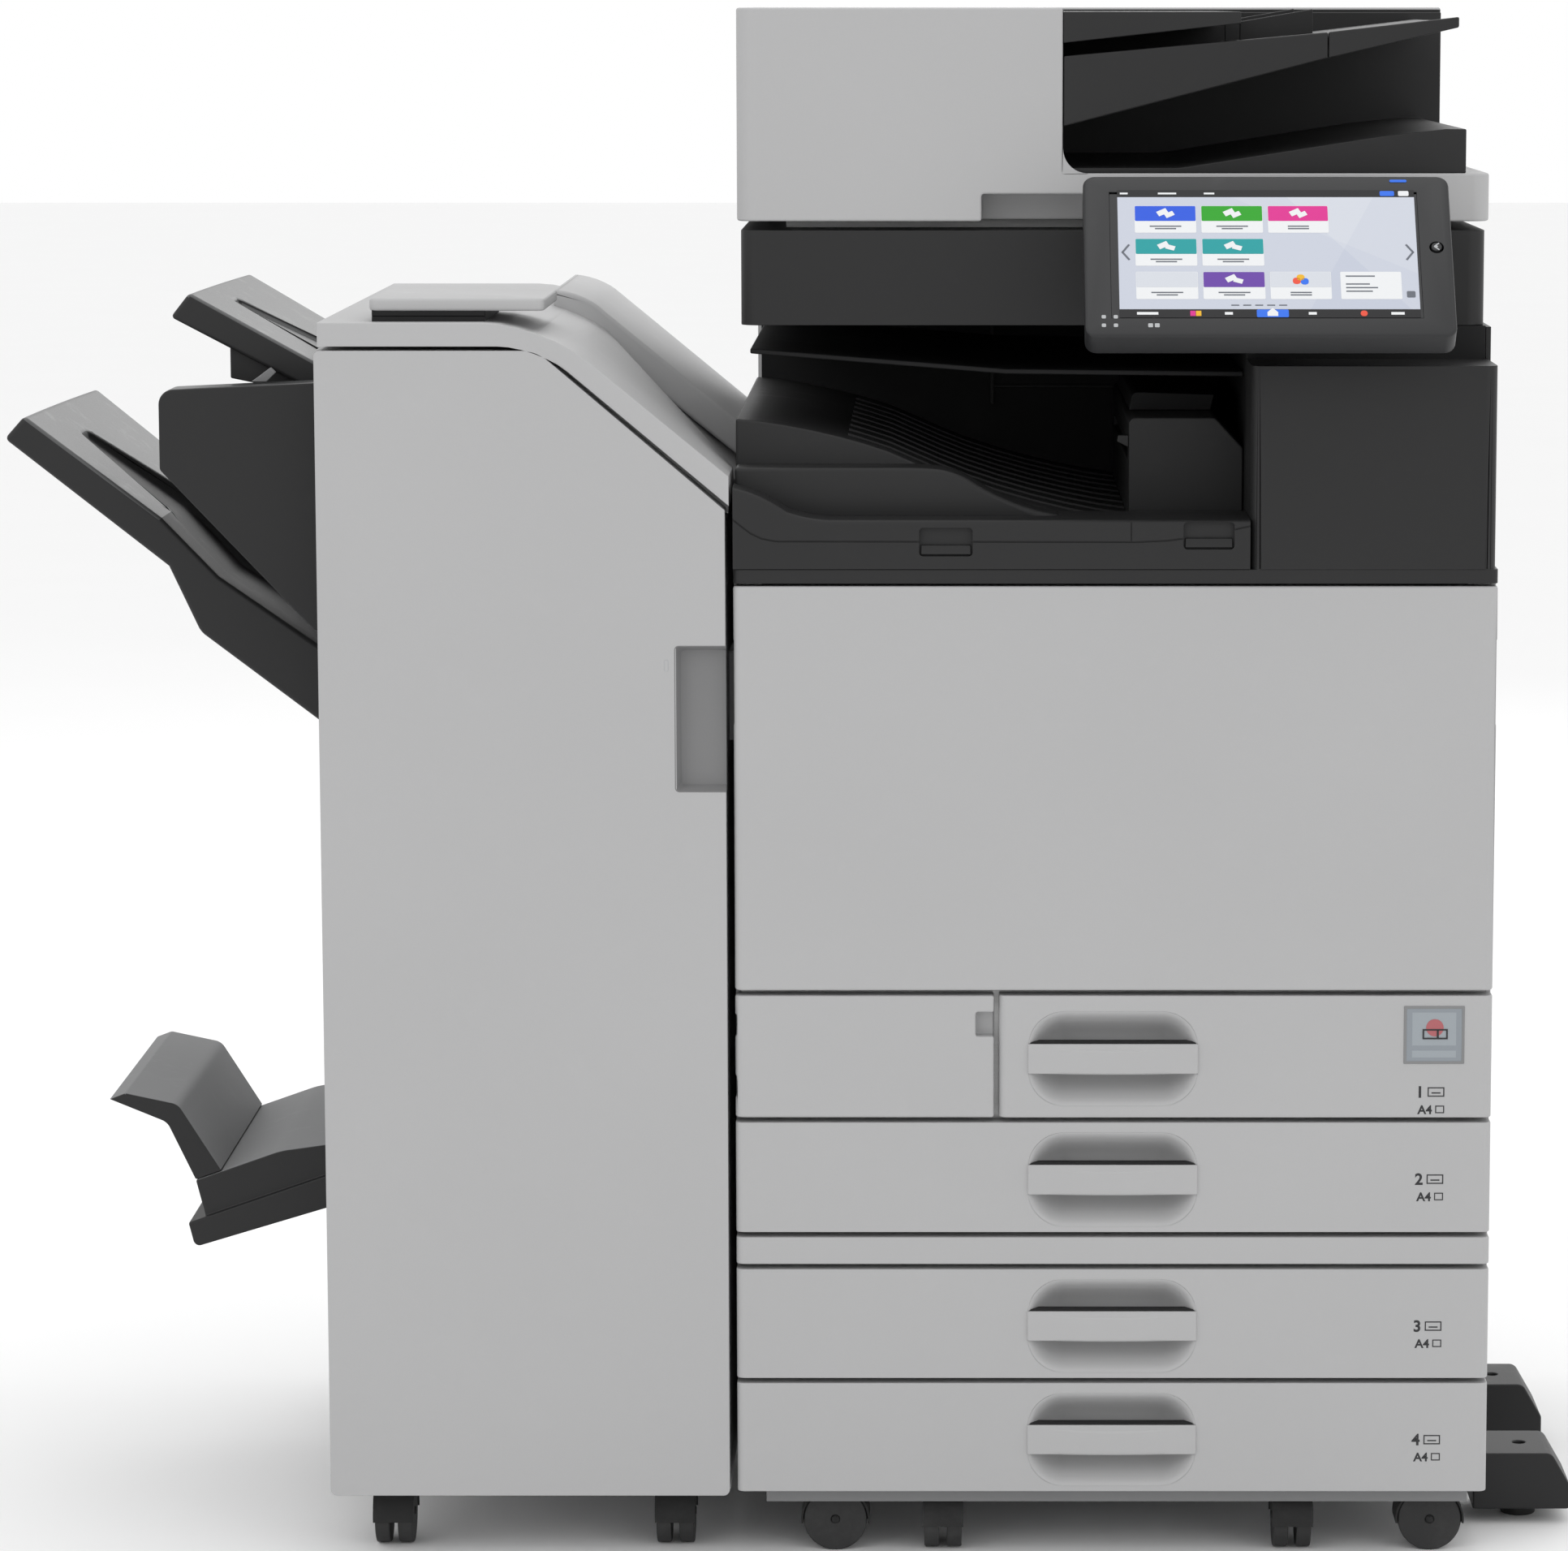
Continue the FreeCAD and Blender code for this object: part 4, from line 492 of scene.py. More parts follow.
def inkFinish(name, colour, glow=0.0, rough=0.4):
    # Printed or lit flat colour with a faint screen texture.
    finish = Finish(name, Specular_IOR_Level=0.3, Emission_Strength=glow)
    dots = finish.noise(2200, 1, 0.5)
    tone = finish.mix(dots * 0.25, (*colour, 1), tuple(c * 0.85 for c in colour) + (1,))
    finish.put(Base_Color=tone, Roughness=dots * 0.1 + rough)
    if glow:
        finish.put(Emission_Color=tone)
    return finish


paperStack = paperFinish()
platenGlass = glassFinish("platenGlass", (0.35, 0.45, 0.42, 1), 0.45, 0.04)
print("finishes ready")


def paint(piece, finish, test):
    # Gives the faces that pass the test another finish.
    mesh = piece.data
    names = [m.name for m in mesh.materials]
    if finish.material.name not in names:
        mesh.materials.append(finish.material)
        names.append(finish.material.name)
    index = names.index(finish.material.name)
    for face in mesh.polygons:
        if test(face.center, face.normal):
            face.material_index = index
    return piece


# Every CAD part gets its finish, and most get eased edges

skinSetup = {
    "left_cover": (coverLight, "cover_light", 0.0012), "right_cover": (coverLight, "cover_light", 0.0012),
    "bank_trim_strip": (coverLight, "cover_light", 0.0012),
    "front_right_cover": (coverBlack, "plastic_black", 0.0018),
    "exit_unit": (coverBlack, "plastic_black", 0.0015),
    "one_bin_tray": (cavityBlack, "plastic_black", 0.001),
    "scanner_housing": (coverBlack, "plastic_black", 0.0018),
    "feeder_cover": (coverLight, "cover_light", 0.0018),
    "feeder_inner_body": (coverBlack, "plastic_black", 0.001),
    "feed_cover": (coverLight, "cover_light", 0.0015),
    "document_tray": (coverBlack, "plastic_black", 0.0015),
    "tray_extension": (coverBlack, "plastic_black", 0.0012),
    "front_document_guide": (coverBlack, "plastic_black", 0.0008),
    "rear_document_guide": (coverBlack, "plastic_black", 0.0008),
    "power_button": (bezelDark, "panel_dark", 0.0006),
    "front_door": (coverLight, "cover_light", 0.0018),
    "waste_toner_door": (coverLight, "cover_light", 0.0015),
    **{f"paper_tray_{number}": (coverLight, "cover_light", 0.0014) for number in range(1, 5)},
    "right_door": (coverLight, "cover_light", 0.0012), "bypass_tray": (coverLight, "cover_light", 0.0012),
    "finisher_housing": (coverLight, "cover_light", 0.0014),
    "finisher_door": (coverLight, "cover_light", 0.0018),
    "tray_side_cover": (coverBlack, "plastic_black", 0.0015),
    "booklet_tray": (coverBlack, "plastic_black", 0.0015),
    "booklet_stopper": (coverBlack, "plastic_black", 0.0012),
    "anti_tip_feet": (coverBlack, "plastic_black", 0.005), "base_frame": (stripGrey, "frame_steel", 0.0006),
    "fixed_caster_forks": (rubberBlack, "caster_black", 0.001),
}
plainSetup = {
    "chassis_frame": (frameSteel, "frame_steel"), "finisher_frame": (frameSteel, "frame_steel"),
    "platen_glass": (platenGlass, "clear_glass"), "platen_pad": (padWhite, "pad_white"),
    "scan_carriage": (unitDark, "unit_plastic"), "toner_bottles": (bottleFinishes[3], "bottle_plastic"),
    "imaging_units": (unitDark, "unit_plastic"), "fuser_unit": (unitDark, "unit_plastic"),
    "touch_screen": (bezelDark, "screen_face"),
}
skins = {}
for node, (finish, slotName, width) in skinSetup.items():
    skins[node] = give(refined(node, width), finish, nodeBody[node], slotName, [node])
for node in frame["nodes"]:
    if node.startswith("caster_fork_"):
        skins[node] = give(refined(node, 0.001), rubberBlack, nodeBody[node], "caster_black", [node])
    elif node.startswith("caster_wheels_"):
        skins[node] = give(refined(node, 0.0012, segments=3), wheelTread, nodeBody[node], "wheel_tread",
                           [node])
for node, (finish, slotName) in plainSetup.items():
    part = frame["nodes"][node]
    part.data.materials.clear()
    part.data.materials.append(finish.material)

# Where a part shows a second finish: the dark sides of the waist, the feeder's inner wall, the tray boxes
secondSetup = {"waistLow": 0.772, "frameLow": 0.767, "feederLeft": 0.2065, "feederBack": 0.2965,
               "feederSpan": (1.0835, 1.2082), "trayFront": -0.2375, "bookletLow": 0.29}


def insideFeeder(place, normal):
    c = secondSetup
    low, high = c["feederSpan"]
    return place.x > c["feederLeft"] and place.y < c["feederBack"] and low < place.z < high


paint(frame["nodes"]["chassis_frame"], cavityBlack, lambda place, normal: place.z > secondSetup["frameLow"])
for node in ("right_cover", "left_cover"):
    paint(skins[node], coverBlack, lambda place, normal: place.z > secondSetup["waistLow"])
paint(skins["feeder_cover"], coverBlack, insideFeeder)
for number in range(1, 5):
    paint(skins[f"paper_tray_{number}"], unitDark, lambda place, normal: place.y > secondSetup["trayFront"])
# The upward faces of the booklet stopper and tray are painted lighter grey as a painted sheen of the top
# light on black plastic.
paint(skins["booklet_stopper"], sheenAndLugGrey, lambda place, normal: normal.z > 0.4)
paint(skins["booklet_tray"], sheenAndLugGrey,
      lambda place, normal: normal.z > 0.6 and place.z > secondSetup["bookletLow"])
print("CAD parts dressed")

# Touch panel: a lit page with bars, tiles and keys, in millimetres from the panel's lower left corner
panelSetup = {
    "corner": (0.221, -0.3425, 0.966), "lean": 40.5, "page": ((26, 17), (252, 139)), "bar": 8, "topBar": 7,
    "pageLevel": 0.05, "sunk": 0.0002, "rim": (0.0002, 0.00003),
    "inks": {"blue": (0.012, 0.07, 0.52), "green": (0.012, 0.26, 0.006), "magenta": (0.52, 0.015, 0.2),
             "teal": (0.005, 0.24, 0.25), "purple": (0.1, 0.035, 0.27), "white": (0.6, 0.61, 0.62),
             "cloud": (0.48, 0.5, 0.54), "dark": (0.006, 0.006, 0.007), "red": (0.6, 0.06, 0.03),
             "yellow": (0.62, 0.34, 0.01), "sky": (0.02, 0.12, 0.6), "slate": (0.1, 0.11, 0.13)},
}
inks = {key: inkFinish("ink" + key.title(), colour, 0.25, 0.3) for key, colour in panelSetup["inks"].items()}
pageFinish = Finish("litPage", Specular_IOR_Level=0.4, Emission_Strength=0.25)
diagonal = pageFinish.make("ShaderNodeSeparateXYZ", None, {"Vector": pageFinish.place}, out="X")
upward = pageFinish.make("ShaderNodeSeparateXYZ", None, {"Vector": pageFinish.place}, out="Z")
facet = ((diagonal * 0.9 + upward) > 1.405) * 0.35 + ((diagonal * -1.6 + upward) > 0.36) * 0.3
facet = facet + ((diagonal * 0.4 + upward) > 1.2) * 0.25
pageTone = pageFinish.mix(facet, (0.375, 0.4, 0.47, 1), (0.455, 0.475, 0.52, 1))
pageFinish.put(Base_Color=pageTone, Emission_Color=pageTone,
               Roughness=pageFinish.noise(900, 1, 0.5) * 0.08 + 0.2)
printGrey = inkFinish("printGrey", (0.42, 0.43, 0.44), 0.0, 0.5)
printDark = inkFinish("printDark", (0.03, 0.03, 0.032), 0.0, 0.5)

lean = math.radians(panelSetup["lean"])
panelTurn = Matrix(((1, 0, 0), (0, math.sin(lean), -math.cos(lean)), (0, math.cos(lean), math.sin(lean))))
panelFrame = Matrix.Translation(panelSetup["corner"]) @ panelTurn.to_4x4()


def panelTile(low, high, level, height=0.25, radius=0.0):
    # A thin raised field between two corners of the screen.
    tile = addBox("field", (low[0] / 1000, low[1] / 1000, level / 1000 - panelSetup["sunk"]),
                  (high[0] / 1000, high[1] / 1000, (level + height) / 1000))
    if radius:
        roundEdges(tile, alongZ, radius / 1000, 3)
    return insetFace(tile, facingUp, *panelSetup["rim"])


def tiltedField(centre, size, turn, level, height=0.15):
    half = (size[0] / 2, size[1] / 2)
    field = panelTile((-half[0], -half[1]), half, level, height)
    field.rotation_euler.z = math.radians(turn)
    field.location = (centre[0] / 1000, centre[1] / 1000, 0)
    return settle(field)


def centredFields(spots):
    # Each spot is a middle, a half size, then the level, thickness and corner radius.
    return [panelTile((x - w, y - h), (x + w, y + h), *rise) for x, y, w, h, *rise in spots]


def onPanel(name, tiles, finish, body="control_panel", slotName="screen_face"):
    piece = joined(name, tiles)
    piece.matrix_world = panelFrame
    return give(settle(piece, name), finish, body, slotName)


# The tiles, from column and row, with a coloured header, two sheets drawn on it and two lines of words
tileSetup = {
    "columns": [(38.8, 85.5), (89.4, 136.1), (140, 186)], "rows": [(97.6, 123.5), (66, 91.9), (34.4, 60.3)],
    "tiles": [("blue", 0, 0), ("green", 1, 0), ("magenta", 2, 0), ("teal", 0, 1),
              ("teal", 1, 1), ("cloud", 0, 2), ("purple", 1, 2), ("cloud", 2, 2)],
    "card": (0.3, 0.2, 1), "header": (0.5, 0.15, 0.8), "headerFoot": 14.6, "inset": 0.3,
    "sheets": [((-2.2, -6.4), (8, 4.8), (28, 28), 0.68), ((3.2, -8.6), (7, 4.2), (28, -18), 0.72)],
    "word": (0.52, 0.1), "wordHeight": 1.2, "lines": [(3.3, 8, 8), (5.6, 12, 8)],
    "lastColumn": (193, 239), "lastStart": 4, "lastLines": [(55.5, 26), (48, 22), (44.6, 28), (41.2, 24)],
}
cards, headers, glyphs, words = [], {}, [], []


def screenTile(colour, column, row):
    c = tileSetup
    (x0, x1), (y0, y1) = c["columns"][column], c["rows"][row]
    middle, inset = (x0 + x1) / 2, c["inset"]
    cards.append(panelTile((x0, y0), (x1, y1), *c["card"]))
    header = panelTile((x0 + inset, y1 - c["headerFoot"]), (x1 - inset, y1 - inset), *c["header"])
    headers.setdefault(colour, []).append(header)
    for (dx, dy), size, turns, level in c["sheets"] if colour != "cloud" else ():
        glyphs.append(tiltedField((middle + dx, y1 + dy), size, turns[row > 0], level))
    for dy, wide, narrow in c["lines"]:
        reach = narrow if column == 2 else wide
        words.append(panelTile((middle - reach, y0 + dy), (middle + reach, y0 + dy + c["wordHeight"]),
                               *c["word"]))


def lastTile():
    c = tileSetup
    (x0, x1), (y0, y1) = c["lastColumn"], c["rows"][2]
    cards.append(panelTile((x0, y0), (x1, y1), *c["card"]))
    for y, end in c["lastLines"]:
        words.append(panelTile((x0 + c["lastStart"], y), (x0 + end, y + c["wordHeight"]), *c["word"]))


# Small marks, each as centredFields takes it, and tilted ones: middle, size, turn and level
markSetup = {
    "words": [(113 + 9 * step, 28.7, 3, 0.5, 0.4, 0.1, 0) for step in range(5)] + [(245.75, 39, 3.25, 3, 0.4,
        0.1, 1)],
    "arrowX": ((1, 31.5), (-1, 246.5)), "arrowY": 79, "arrowSpread": 3.4, "arrowSize": (9.5, 1.5),
    "arrowTurn": 55,
    "dots": {"sky": (166, 51), "red": (160, 51.5), "yellow": (163, 54.5)}, "dot": (3, 3, 0.7, 0.12, 2.4),
    "white": [(x, 21, w, 1.2, 0.35, 0.1, 0) for x, w in ((47, 8), (108, 3), (171, 3), (235, 5))]
    + [(x, 135.5, w, 0.8, 0.35, 0.1, 0) for x, w in ((31, 3), (64, 7), (96, 4))] + [(141, 20.3, 4, 1.9, 0.6,
        0.1, 0)],
    "roof": ((141, 22.4), (5, 5), 45, 0.6), "whiteKey": [(244, 135.5, 4, 2.4, 0.35, 0.1, 1)],
    "keys": {"screen_home": ("sky", [(141, 21, 12, 3.6, 0.35, 0.12, 1),
                                     (231.5, 135.5, 5.5, 2.4, 0.35, 0.1, 1)]),
             "screen_stop": ("red", [(209.6, 21, 2.6, 2.6, 0.35, 0.12, 2.2)]),
             "screen_inks": ("magenta", [(81, 21, 2, 2.4, 0.35, 0.1, 0)]),
             "screen_inks_2": ("yellow", [(85.3, 21, 2, 2.4, 0.35, 0.1, 0)])},
    "light": [(240.5, 147.8, 6.5, 1.2, 0.02, 0.3, 1)],
    "frame": [(x, y, 1.6, 1.6, 0.02, 0.15, 0.8) for x in (14, 23) for y in (10, 18)]
    + [(x, 10, 1.8, 1.8, 0.02, 0.15, 0.6) for x in (49, 54)] + [(52, 18.2, 2, 1.2, 0.02, 0.15, 0.6)],
    "power": [((267, 85.6), (5, 0.9), 40, 1.05), ((267, 82.4), (5, 0.9), -40, 1.05),
              ((267, 84), (1.6, 1.6), 45, 1.05)],
}
(pageX0, pageY0), (pageX1, pageY1) = panelSetup["page"]
barLow, barTop, pageLevel = pageY0 + panelSetup["bar"], pageY1 - panelSetup["topBar"], panelSetup["pageLevel"]
onPanel("screen_page", [panelTile((pageX0, barLow), (pageX1, barTop), pageLevel)], pageFinish)
onPanel("screen_bars", [panelTile((pageX0, pageY0), (pageX1, barLow), pageLevel),
                        panelTile((pageX0, barTop), (pageX1, pageY1), pageLevel)], inks["dark"])
for tile in tileSetup["tiles"]:
    screenTile(*tile)
lastTile()
words += centredFields(markSetup["words"])
for side, x in markSetup["arrowX"]:
    for turn in (1, -1):
        words.append(tiltedField((x, markSetup["arrowY"] + turn * markSetup["arrowSpread"]),
                                 markSetup["arrowSize"],
                                 turn * side * markSetup["arrowTurn"], 0.4))
onPanel("screen_cards", cards, inks["white"])
for colour, fields in headers.items():
    onPanel("screen_tile_" + colour, fields, inks[colour])
for colour, place in markSetup["dots"].items():
    onPanel("screen_dot_" + colour, centredFields([place + markSetup["dot"]]), inks[colour])
whiteMarks = centredFields(markSetup["white"]) + [tiltedField(*markSetup["roof"])]
whiteMarks += centredFields(markSetup["whiteKey"])
onPanel("screen_marks", whiteMarks + glyphs, inks["white"])
onPanel("screen_words", words, inks["slate"])
for name, (colour, spots) in markSetup["keys"].items():
    onPanel(name, centredFields(spots), inks[colour])
onPanel("panel_light", centredFields(markSetup["light"]), inks["sky"], slotName="panel_dark")
onPanel("panel_marks", centredFields(markSetup["frame"]), printGrey, slotName="panel_dark")
powerMarks = [tiltedField(*spot) for spot in markSetup["power"]]
onPanel("power_mark", powerMarks, printGrey, "power_button", "panel_dark")
print("touch panel made")

# Paper tray fronts: soft scoops, pull bars with a gap behind them filled by a dark box as painted shade, tray
# marks
trayPlan = {1: (0.3555, 0.096), 2: (0.2645, 0.087), 3: (0.148, 0.087), 4: (0.057, 0.087)}
scoopSetup = {
    "centre": 0.2462, "drop": 0.0015, "halfWidth": 0.0658, "halfHeight": 0.0371, "corner": 0.0285,
    "front": -0.2708,
    "rings": [(0.0012, -0.0004), (0.0022, -0.0018), (0.003, -0.004), (0.0045, -0.007),
              (0.006, -0.0075), (0.008, -0.005)],
    "wall": 0.0008, "barHalf": (0.0645, 0.0118), "barFront": -0.2733, "barBack": -0.262, "barCuts": 11,
    "bow": 0.0012,
    "crown": 0.0046, "sag": 0.0008, "barCorner": 0.006, "barEdge": 0.0022,
    "gapHalf": 0.0662, "gapFront": -0.2709, "gapSpan": (-0.0118, 0.0134), "gapRound": 0.005,
}


def trayScoop(centreZ):
    # A bowl that sinks from a soft rim, lining the pocket behind the pull bar.
    c = scoopSetup
    bowl = addBox("scoop", (c["centre"] - c["halfWidth"], c["front"], centreZ - c["halfHeight"]),
                  (c["centre"] + c["halfWidth"], c["front"] + overrun, centreZ + c["halfHeight"]))
    roundEdges(bowl, alongY, c["corner"], 10)
    pick(bowl, "FACE", lambda place, normal: normal.y > -0.9)
    bpy.ops.mesh.delete(type="FACE")
    leave(bowl)
    for thickness, depth in c["rings"]:
        insetFace(bowl, lambda place, normal: normal.y < -0.99 and abs(place.x - c["centre"]) < 0.002,
                  thickness, depth)
    applied(bowl, "SOLIDIFY", thickness=c["wall"], offset=-1)
    return smooth(bowl, 60)


def pullBar(centreZ):
    # The bar bows out a little towards its middle.
    c = scoopSetup
    middleX, (halfX, halfZ) = c["centre"], c["barHalf"]
    bar = addBox("bar", (middleX - halfX, c["barFront"] + c["bow"], centreZ - halfZ),
                 (middleX + halfX, c["barBack"], centreZ + halfZ))
    pick(bar, "EDGE", alongX)
    bpy.ops.mesh.subdivide(number_cuts=c["barCuts"])
    leave(bar)
    for spot in bar.data.vertices:
        bow = math.cos((spot.co.x - middleX) / halfX * math.pi / 2)
        if spot.co.y < -0.27:
            spot.co.y -= c["bow"] * bow
            spot.co.z -= c["crown"] * bow if spot.co.z > centreZ else c["sag"] * bow

    def endEdge(middle, direction):
        return alongY(middle, direction) and abs(abs(middle.x - middleX) - halfX) < 1e-4

    roundEdges(bar, endEdge, c["barCorner"], 5)
    return soften(bar, c["barEdge"], 3, 40)


# A dark box in the gap around and behind the pull bar: painted shade where the gap falls into shadow.
def pullGap(centreZ):
    c = scoopSetup
    low, high = (centreZ + rise for rise in c["gapSpan"])
    gap = addBox("gap", (c["centre"] - c["gapHalf"], c["gapFront"], low),
                 (c["centre"] + c["gapHalf"], c["barBack"], high))
    return roundEdges(gap, alongY, c["gapRound"])


def wordMesh(name, text, size, place):
    clearPick()
    bpy.ops.object.text_add(location=place, rotation=(math.radians(90), 0, 0))
    word = bpy.context.object
    word.data.body = text
    word.data.size = size
    word.data.extrude = 0.00015
    word.data.offset = size * 0.028
    word.data.align_x = "CENTER"
    bpy.ops.object.convert(target="MESH")
    return settle(word, name)


def ringBox(low, high, wall, name="ring"):
    # A flat frame facing forward.
    outer = addBox(name, low, high)
    inner = addBox("hole", (low[0] + wall, low[1] - overrun, low[2] + wall),
                   (high[0] - wall, high[1] + overrun, high[2] - wall))
    return carve(outer, inner)


# The mark of each tray: its number, a level sign and the sheet size, with corners counted from its spot
trayMarkSetup = {
    "spot": (0.4925, -0.27045), "heights": {1: 0.376, 2: 0.307, 3: 0.190, 4: 0.099},
    "digit": (0.0125, (-0.008, 0, -0.0045)), "sheet": (0.0095, (-0.004, 0, -0.0175)),
    "case": ((-0.002, -0.0002, -0.004), (0.011, 0.0003, 0.0035), 0.0009),
    "level": ((0.001, -0.0002, -0.0015), (0.008, 0.0002, -0.0005)),
    "page": ((0.004, -0.0002, -0.017), (0.011, 0.0003, -0.011), 0.0008),
}


def trayMark(number):
    c = trayMarkSetup
    spot = Vector((*c["spot"], c["heights"][number]))

    def at(offset):
        return spot + Vector(offset)

    (digitSize, digitPlace), (sheetSize, sheetPlace) = c["digit"], c["sheet"]
    return joined(f"tray_mark_{number}", [
        wordMesh("digit", str(number), digitSize, at(digitPlace)),
        ringBox(at(c["case"][0]), at(c["case"][1]), c["case"][2]),
        addBox("line", at(c["level"][0]), at(c["level"][1])),
        wordMesh("sheet", "A4", sheetSize, at(sheetPlace)),
        ringBox(at(c["page"][0]), at(c["page"][1]), c["page"][2])])


for number, (low, height) in trayPlan.items():
    body = f"paper_tray_{number}"
    centreZ = low + height / 2 - scoopSetup["drop"]
    give(settle(trayScoop(centreZ), f"tray_scoop_{number}"), coverLight, body, "cover_light")
    give(settle(pullBar(centreZ), f"tray_pull_{number}"), coverLight, body, "cover_light")
    # The gap box is painted dark as painted shade behind the bar.
    give(settle(pullGap(centreZ), f"tray_pull_gap_shade_{number}"), cavityBlack, body, "cover_light")
    give(trayMark(number), printDark, body, "cover_light")

# Size window on the top tray: frame, card, slips and a red dot
cardSetup = {
    "frame": ((0.4715, -0.2712, 0.398), (0.5185, -0.2700, 0.4435)), "frameWall": 0.0022, "frameEdge": 0.0005,
    "card": ((0.4735, -0.2709, 0.400), (0.5165, -0.2703, 0.4415)),
    "slips": [((0.478, -0.27105, 0.4125), (0.512, -0.2708, 0.4385)),
              ((0.478, -0.27105, 0.403), (0.512, -0.2708, 0.4085))],
    "dot": ((0.4955, -0.2708, 0.4265), (0.4955, -0.2713, 0.4265)), "dotRadius": 0.0068, "rim": 0.001,
    "rimDepth": 0.0001,
    "case": ((0.486, -0.2715, 0.4175), (0.5055, -0.2712, 0.4255)), "caseWall": 0.0012,
    "stroke": ((0.497, -0.2715, 0.4185), (0.4985, -0.2712, 0.4245)),
    "blue": (0.25, 0.275, 0.3), "light": (0.31, 0.34, 0.365), "red": (0.4, 0.12, 0.13),
}
windowFrame = ringBox(*cardSetup["frame"], cardSetup["frameWall"], "size_window_frame")
card = insetFace(addBox("size_card", *cardSetup["card"]), facingFront, cardSetup["rim"],
                 cardSetup["rimDepth"])
slip = joined("size_slip", [addBox("slip", *corners) for corners in cardSetup["slips"]])
dot = addRod("size_dot", *cardSetup["dot"], cardSetup["dotRadius"], 24)
insetFace(dot, facingFront, cardSetup["rim"], -cardSetup["rimDepth"])
slipMarks = joined("size_slip_marks", [ringBox(*cardSetup["case"], cardSetup["caseWall"]),
                                       addBox("m", *cardSetup["stroke"])])
windowPieces = [(soften(windowFrame, cardSetup["frameEdge"], 2), stripGrey),
                (card, inkFinish("cardBlue", cardSetup["blue"], 0.0, 0.3)),
                (slip, inkFinish("cardLight", cardSetup["light"], 0.0, 0.3)),
                (dot, inkFinish("dotRed", cardSetup["red"], 0.0, 0.4)), (slipMarks, printDark)]
for piece, finish in windowPieces:
    give(piece, finish, "paper_tray_1", "cover_light")
print("paper tray fronts made")

# Control panel: shell with round corners, screen rebate, button bore and hinge lugs
shellSetup = {
    "size": (0.279, 0.153, 0.023), "corner": 0.009, "edge": 0.0022,
    "glass": (0.020, 0.017, 0.254, 0.137), "glassGap": 0.0003, "glassDepth": 0.0035,
    "button": (0.267, 0.084, 0.0056), "buttonDepth": 0.0082,
    "lugs": (0.0985, 0.1705), "lugWidth": 0.01, "lugSpan": (0.046, 0.064), "lugReach": 0.019,
    "lugRound": 0.007,
}


def panelShell():
    c = shellSetup
    width, height, thick = c["size"]
    shell = addBox("shell", (0, 0, -thick), (width, height, 0))
    roundEdges(shell, alongZ, c["corner"], 6)
    soften(shell, c["edge"], 4, 60, False)
    x0, y0, x1, y1 = c["glass"]
    gap = c["glassGap"]
    x, y, radius = c["button"]
    rebate = addBox("rebate", (x0 - gap, y0 - gap, -c["glassDepth"]), (x1 + gap, y1 + gap, overrun))
    bore = addRod("bore", (x, y, -c["buttonDepth"]), (x, y, overrun), radius)
    carve(shell, rebate, bore)

    def lugEnd(middle, direction):
        return alongX(middle, direction) and middle.z < -thick

    lugs = []
    for x in c["lugs"]:
        lug = addBox("lug", (x, c["lugSpan"][0], -thick - c["lugReach"]),
                     (x + c["lugWidth"], c["lugSpan"][1], -thick + 2 * overrun))
        lugs.append(roundEdges(lug, lugEnd, c["lugRound"]))
    return smooth(joined("control_panel.shell", [shell] + lugs), 40)


shell = panelShell()
shell.matrix_world = panelFrame
settle(shell, "control_panel.shell")
give(shell, bezelDark, "control_panel", "panel_dark", ["control_panel"])

# Finisher: top cover with its slope, hollow, ridge and raised slab
topSetup = {
    "rim": [(-0.3628, 0.9538), (-0.1953, 0.9538), (-0.0498, 0.8318), (-0.0498, 0.8545), (-0.1923, 0.9718),
            (-0.3628, 0.9718)],
    "depth": (-0.2705, 0.3345), "kneeLow": 0.03, "kneeHigh": 0.045, "frontEdge": 0.004,
    "bowl": [(-0.1800, 0.9450), (-0.1800, 0.9250), (-0.0600, 0.8240), (-0.0510, 0.8240), (-0.0510, 0.8400)],
    "bowlDepth": (-0.2440, 0.3340), "apex": (-0.1740, 0.0915, 0.9568), "spread": 31, "reach": 0.45,
    "squash": 0.2, "roll": -6, "tip": 0.001,
    "ridge": [(-0.2060, 0.9650), (-0.0510, 0.8400), (-0.0510, 0.8690), (-0.1850, 0.9795), (-0.2060, 0.9795)],
    "ridgeDepth": (0.0700, 0.3345), "ridgeKnee": 0.02, "ridgeEdge": 0.0035,
    "slab": ((-0.3245, -0.2555, 0.9800), (-0.1900, -0.1135, 0.9895)), "slabCorner": 0.006,
    "slabEdge": 0.0022,
    "plinth": ((-0.3225, -0.2535, 0.9712), (-0.2360, -0.1155, 0.9805)), "plinthEdge": 0.0004,
    "plinthLine": ((-0.33, -0.26, 0.9755), (-0.23, -0.2525, 0.9761)),
}


def hollowCone():
    # A flat cone from the knee down the slope, rolled so that its front side is the steep one.
    c = topSetup
    lower, upper = Vector(c["rim"][3]), Vector(c["rim"][4])
    fall = (lower - upper).normalized()
    slope, spread = Vector((fall.x, 0, fall.y)), math.radians(c["spread"])
    along = slope * math.cos(spread) - Vector((0, 1, 0)) * math.sin(spread)
    lift = Vector((-fall.y, 0, fall.x))
    side = lift.cross(along)
    mouth = c["reach"] * math.tan(spread)
    cone = addRod("cone", (0, 0, 0), (0, 0, c["reach"]), c["tip"], 96, mouth)
    turn = Matrix((side, lift, along)).transposed().to_4x4()
    roll = Matrix.Rotation(math.radians(c["roll"]), 4, "Z")
    cone.matrix_world = Matrix.Translation(c["apex"]) @ turn @ roll @ Matrix.Diagonal((1, c["squash"], 1, 1))
    return cone


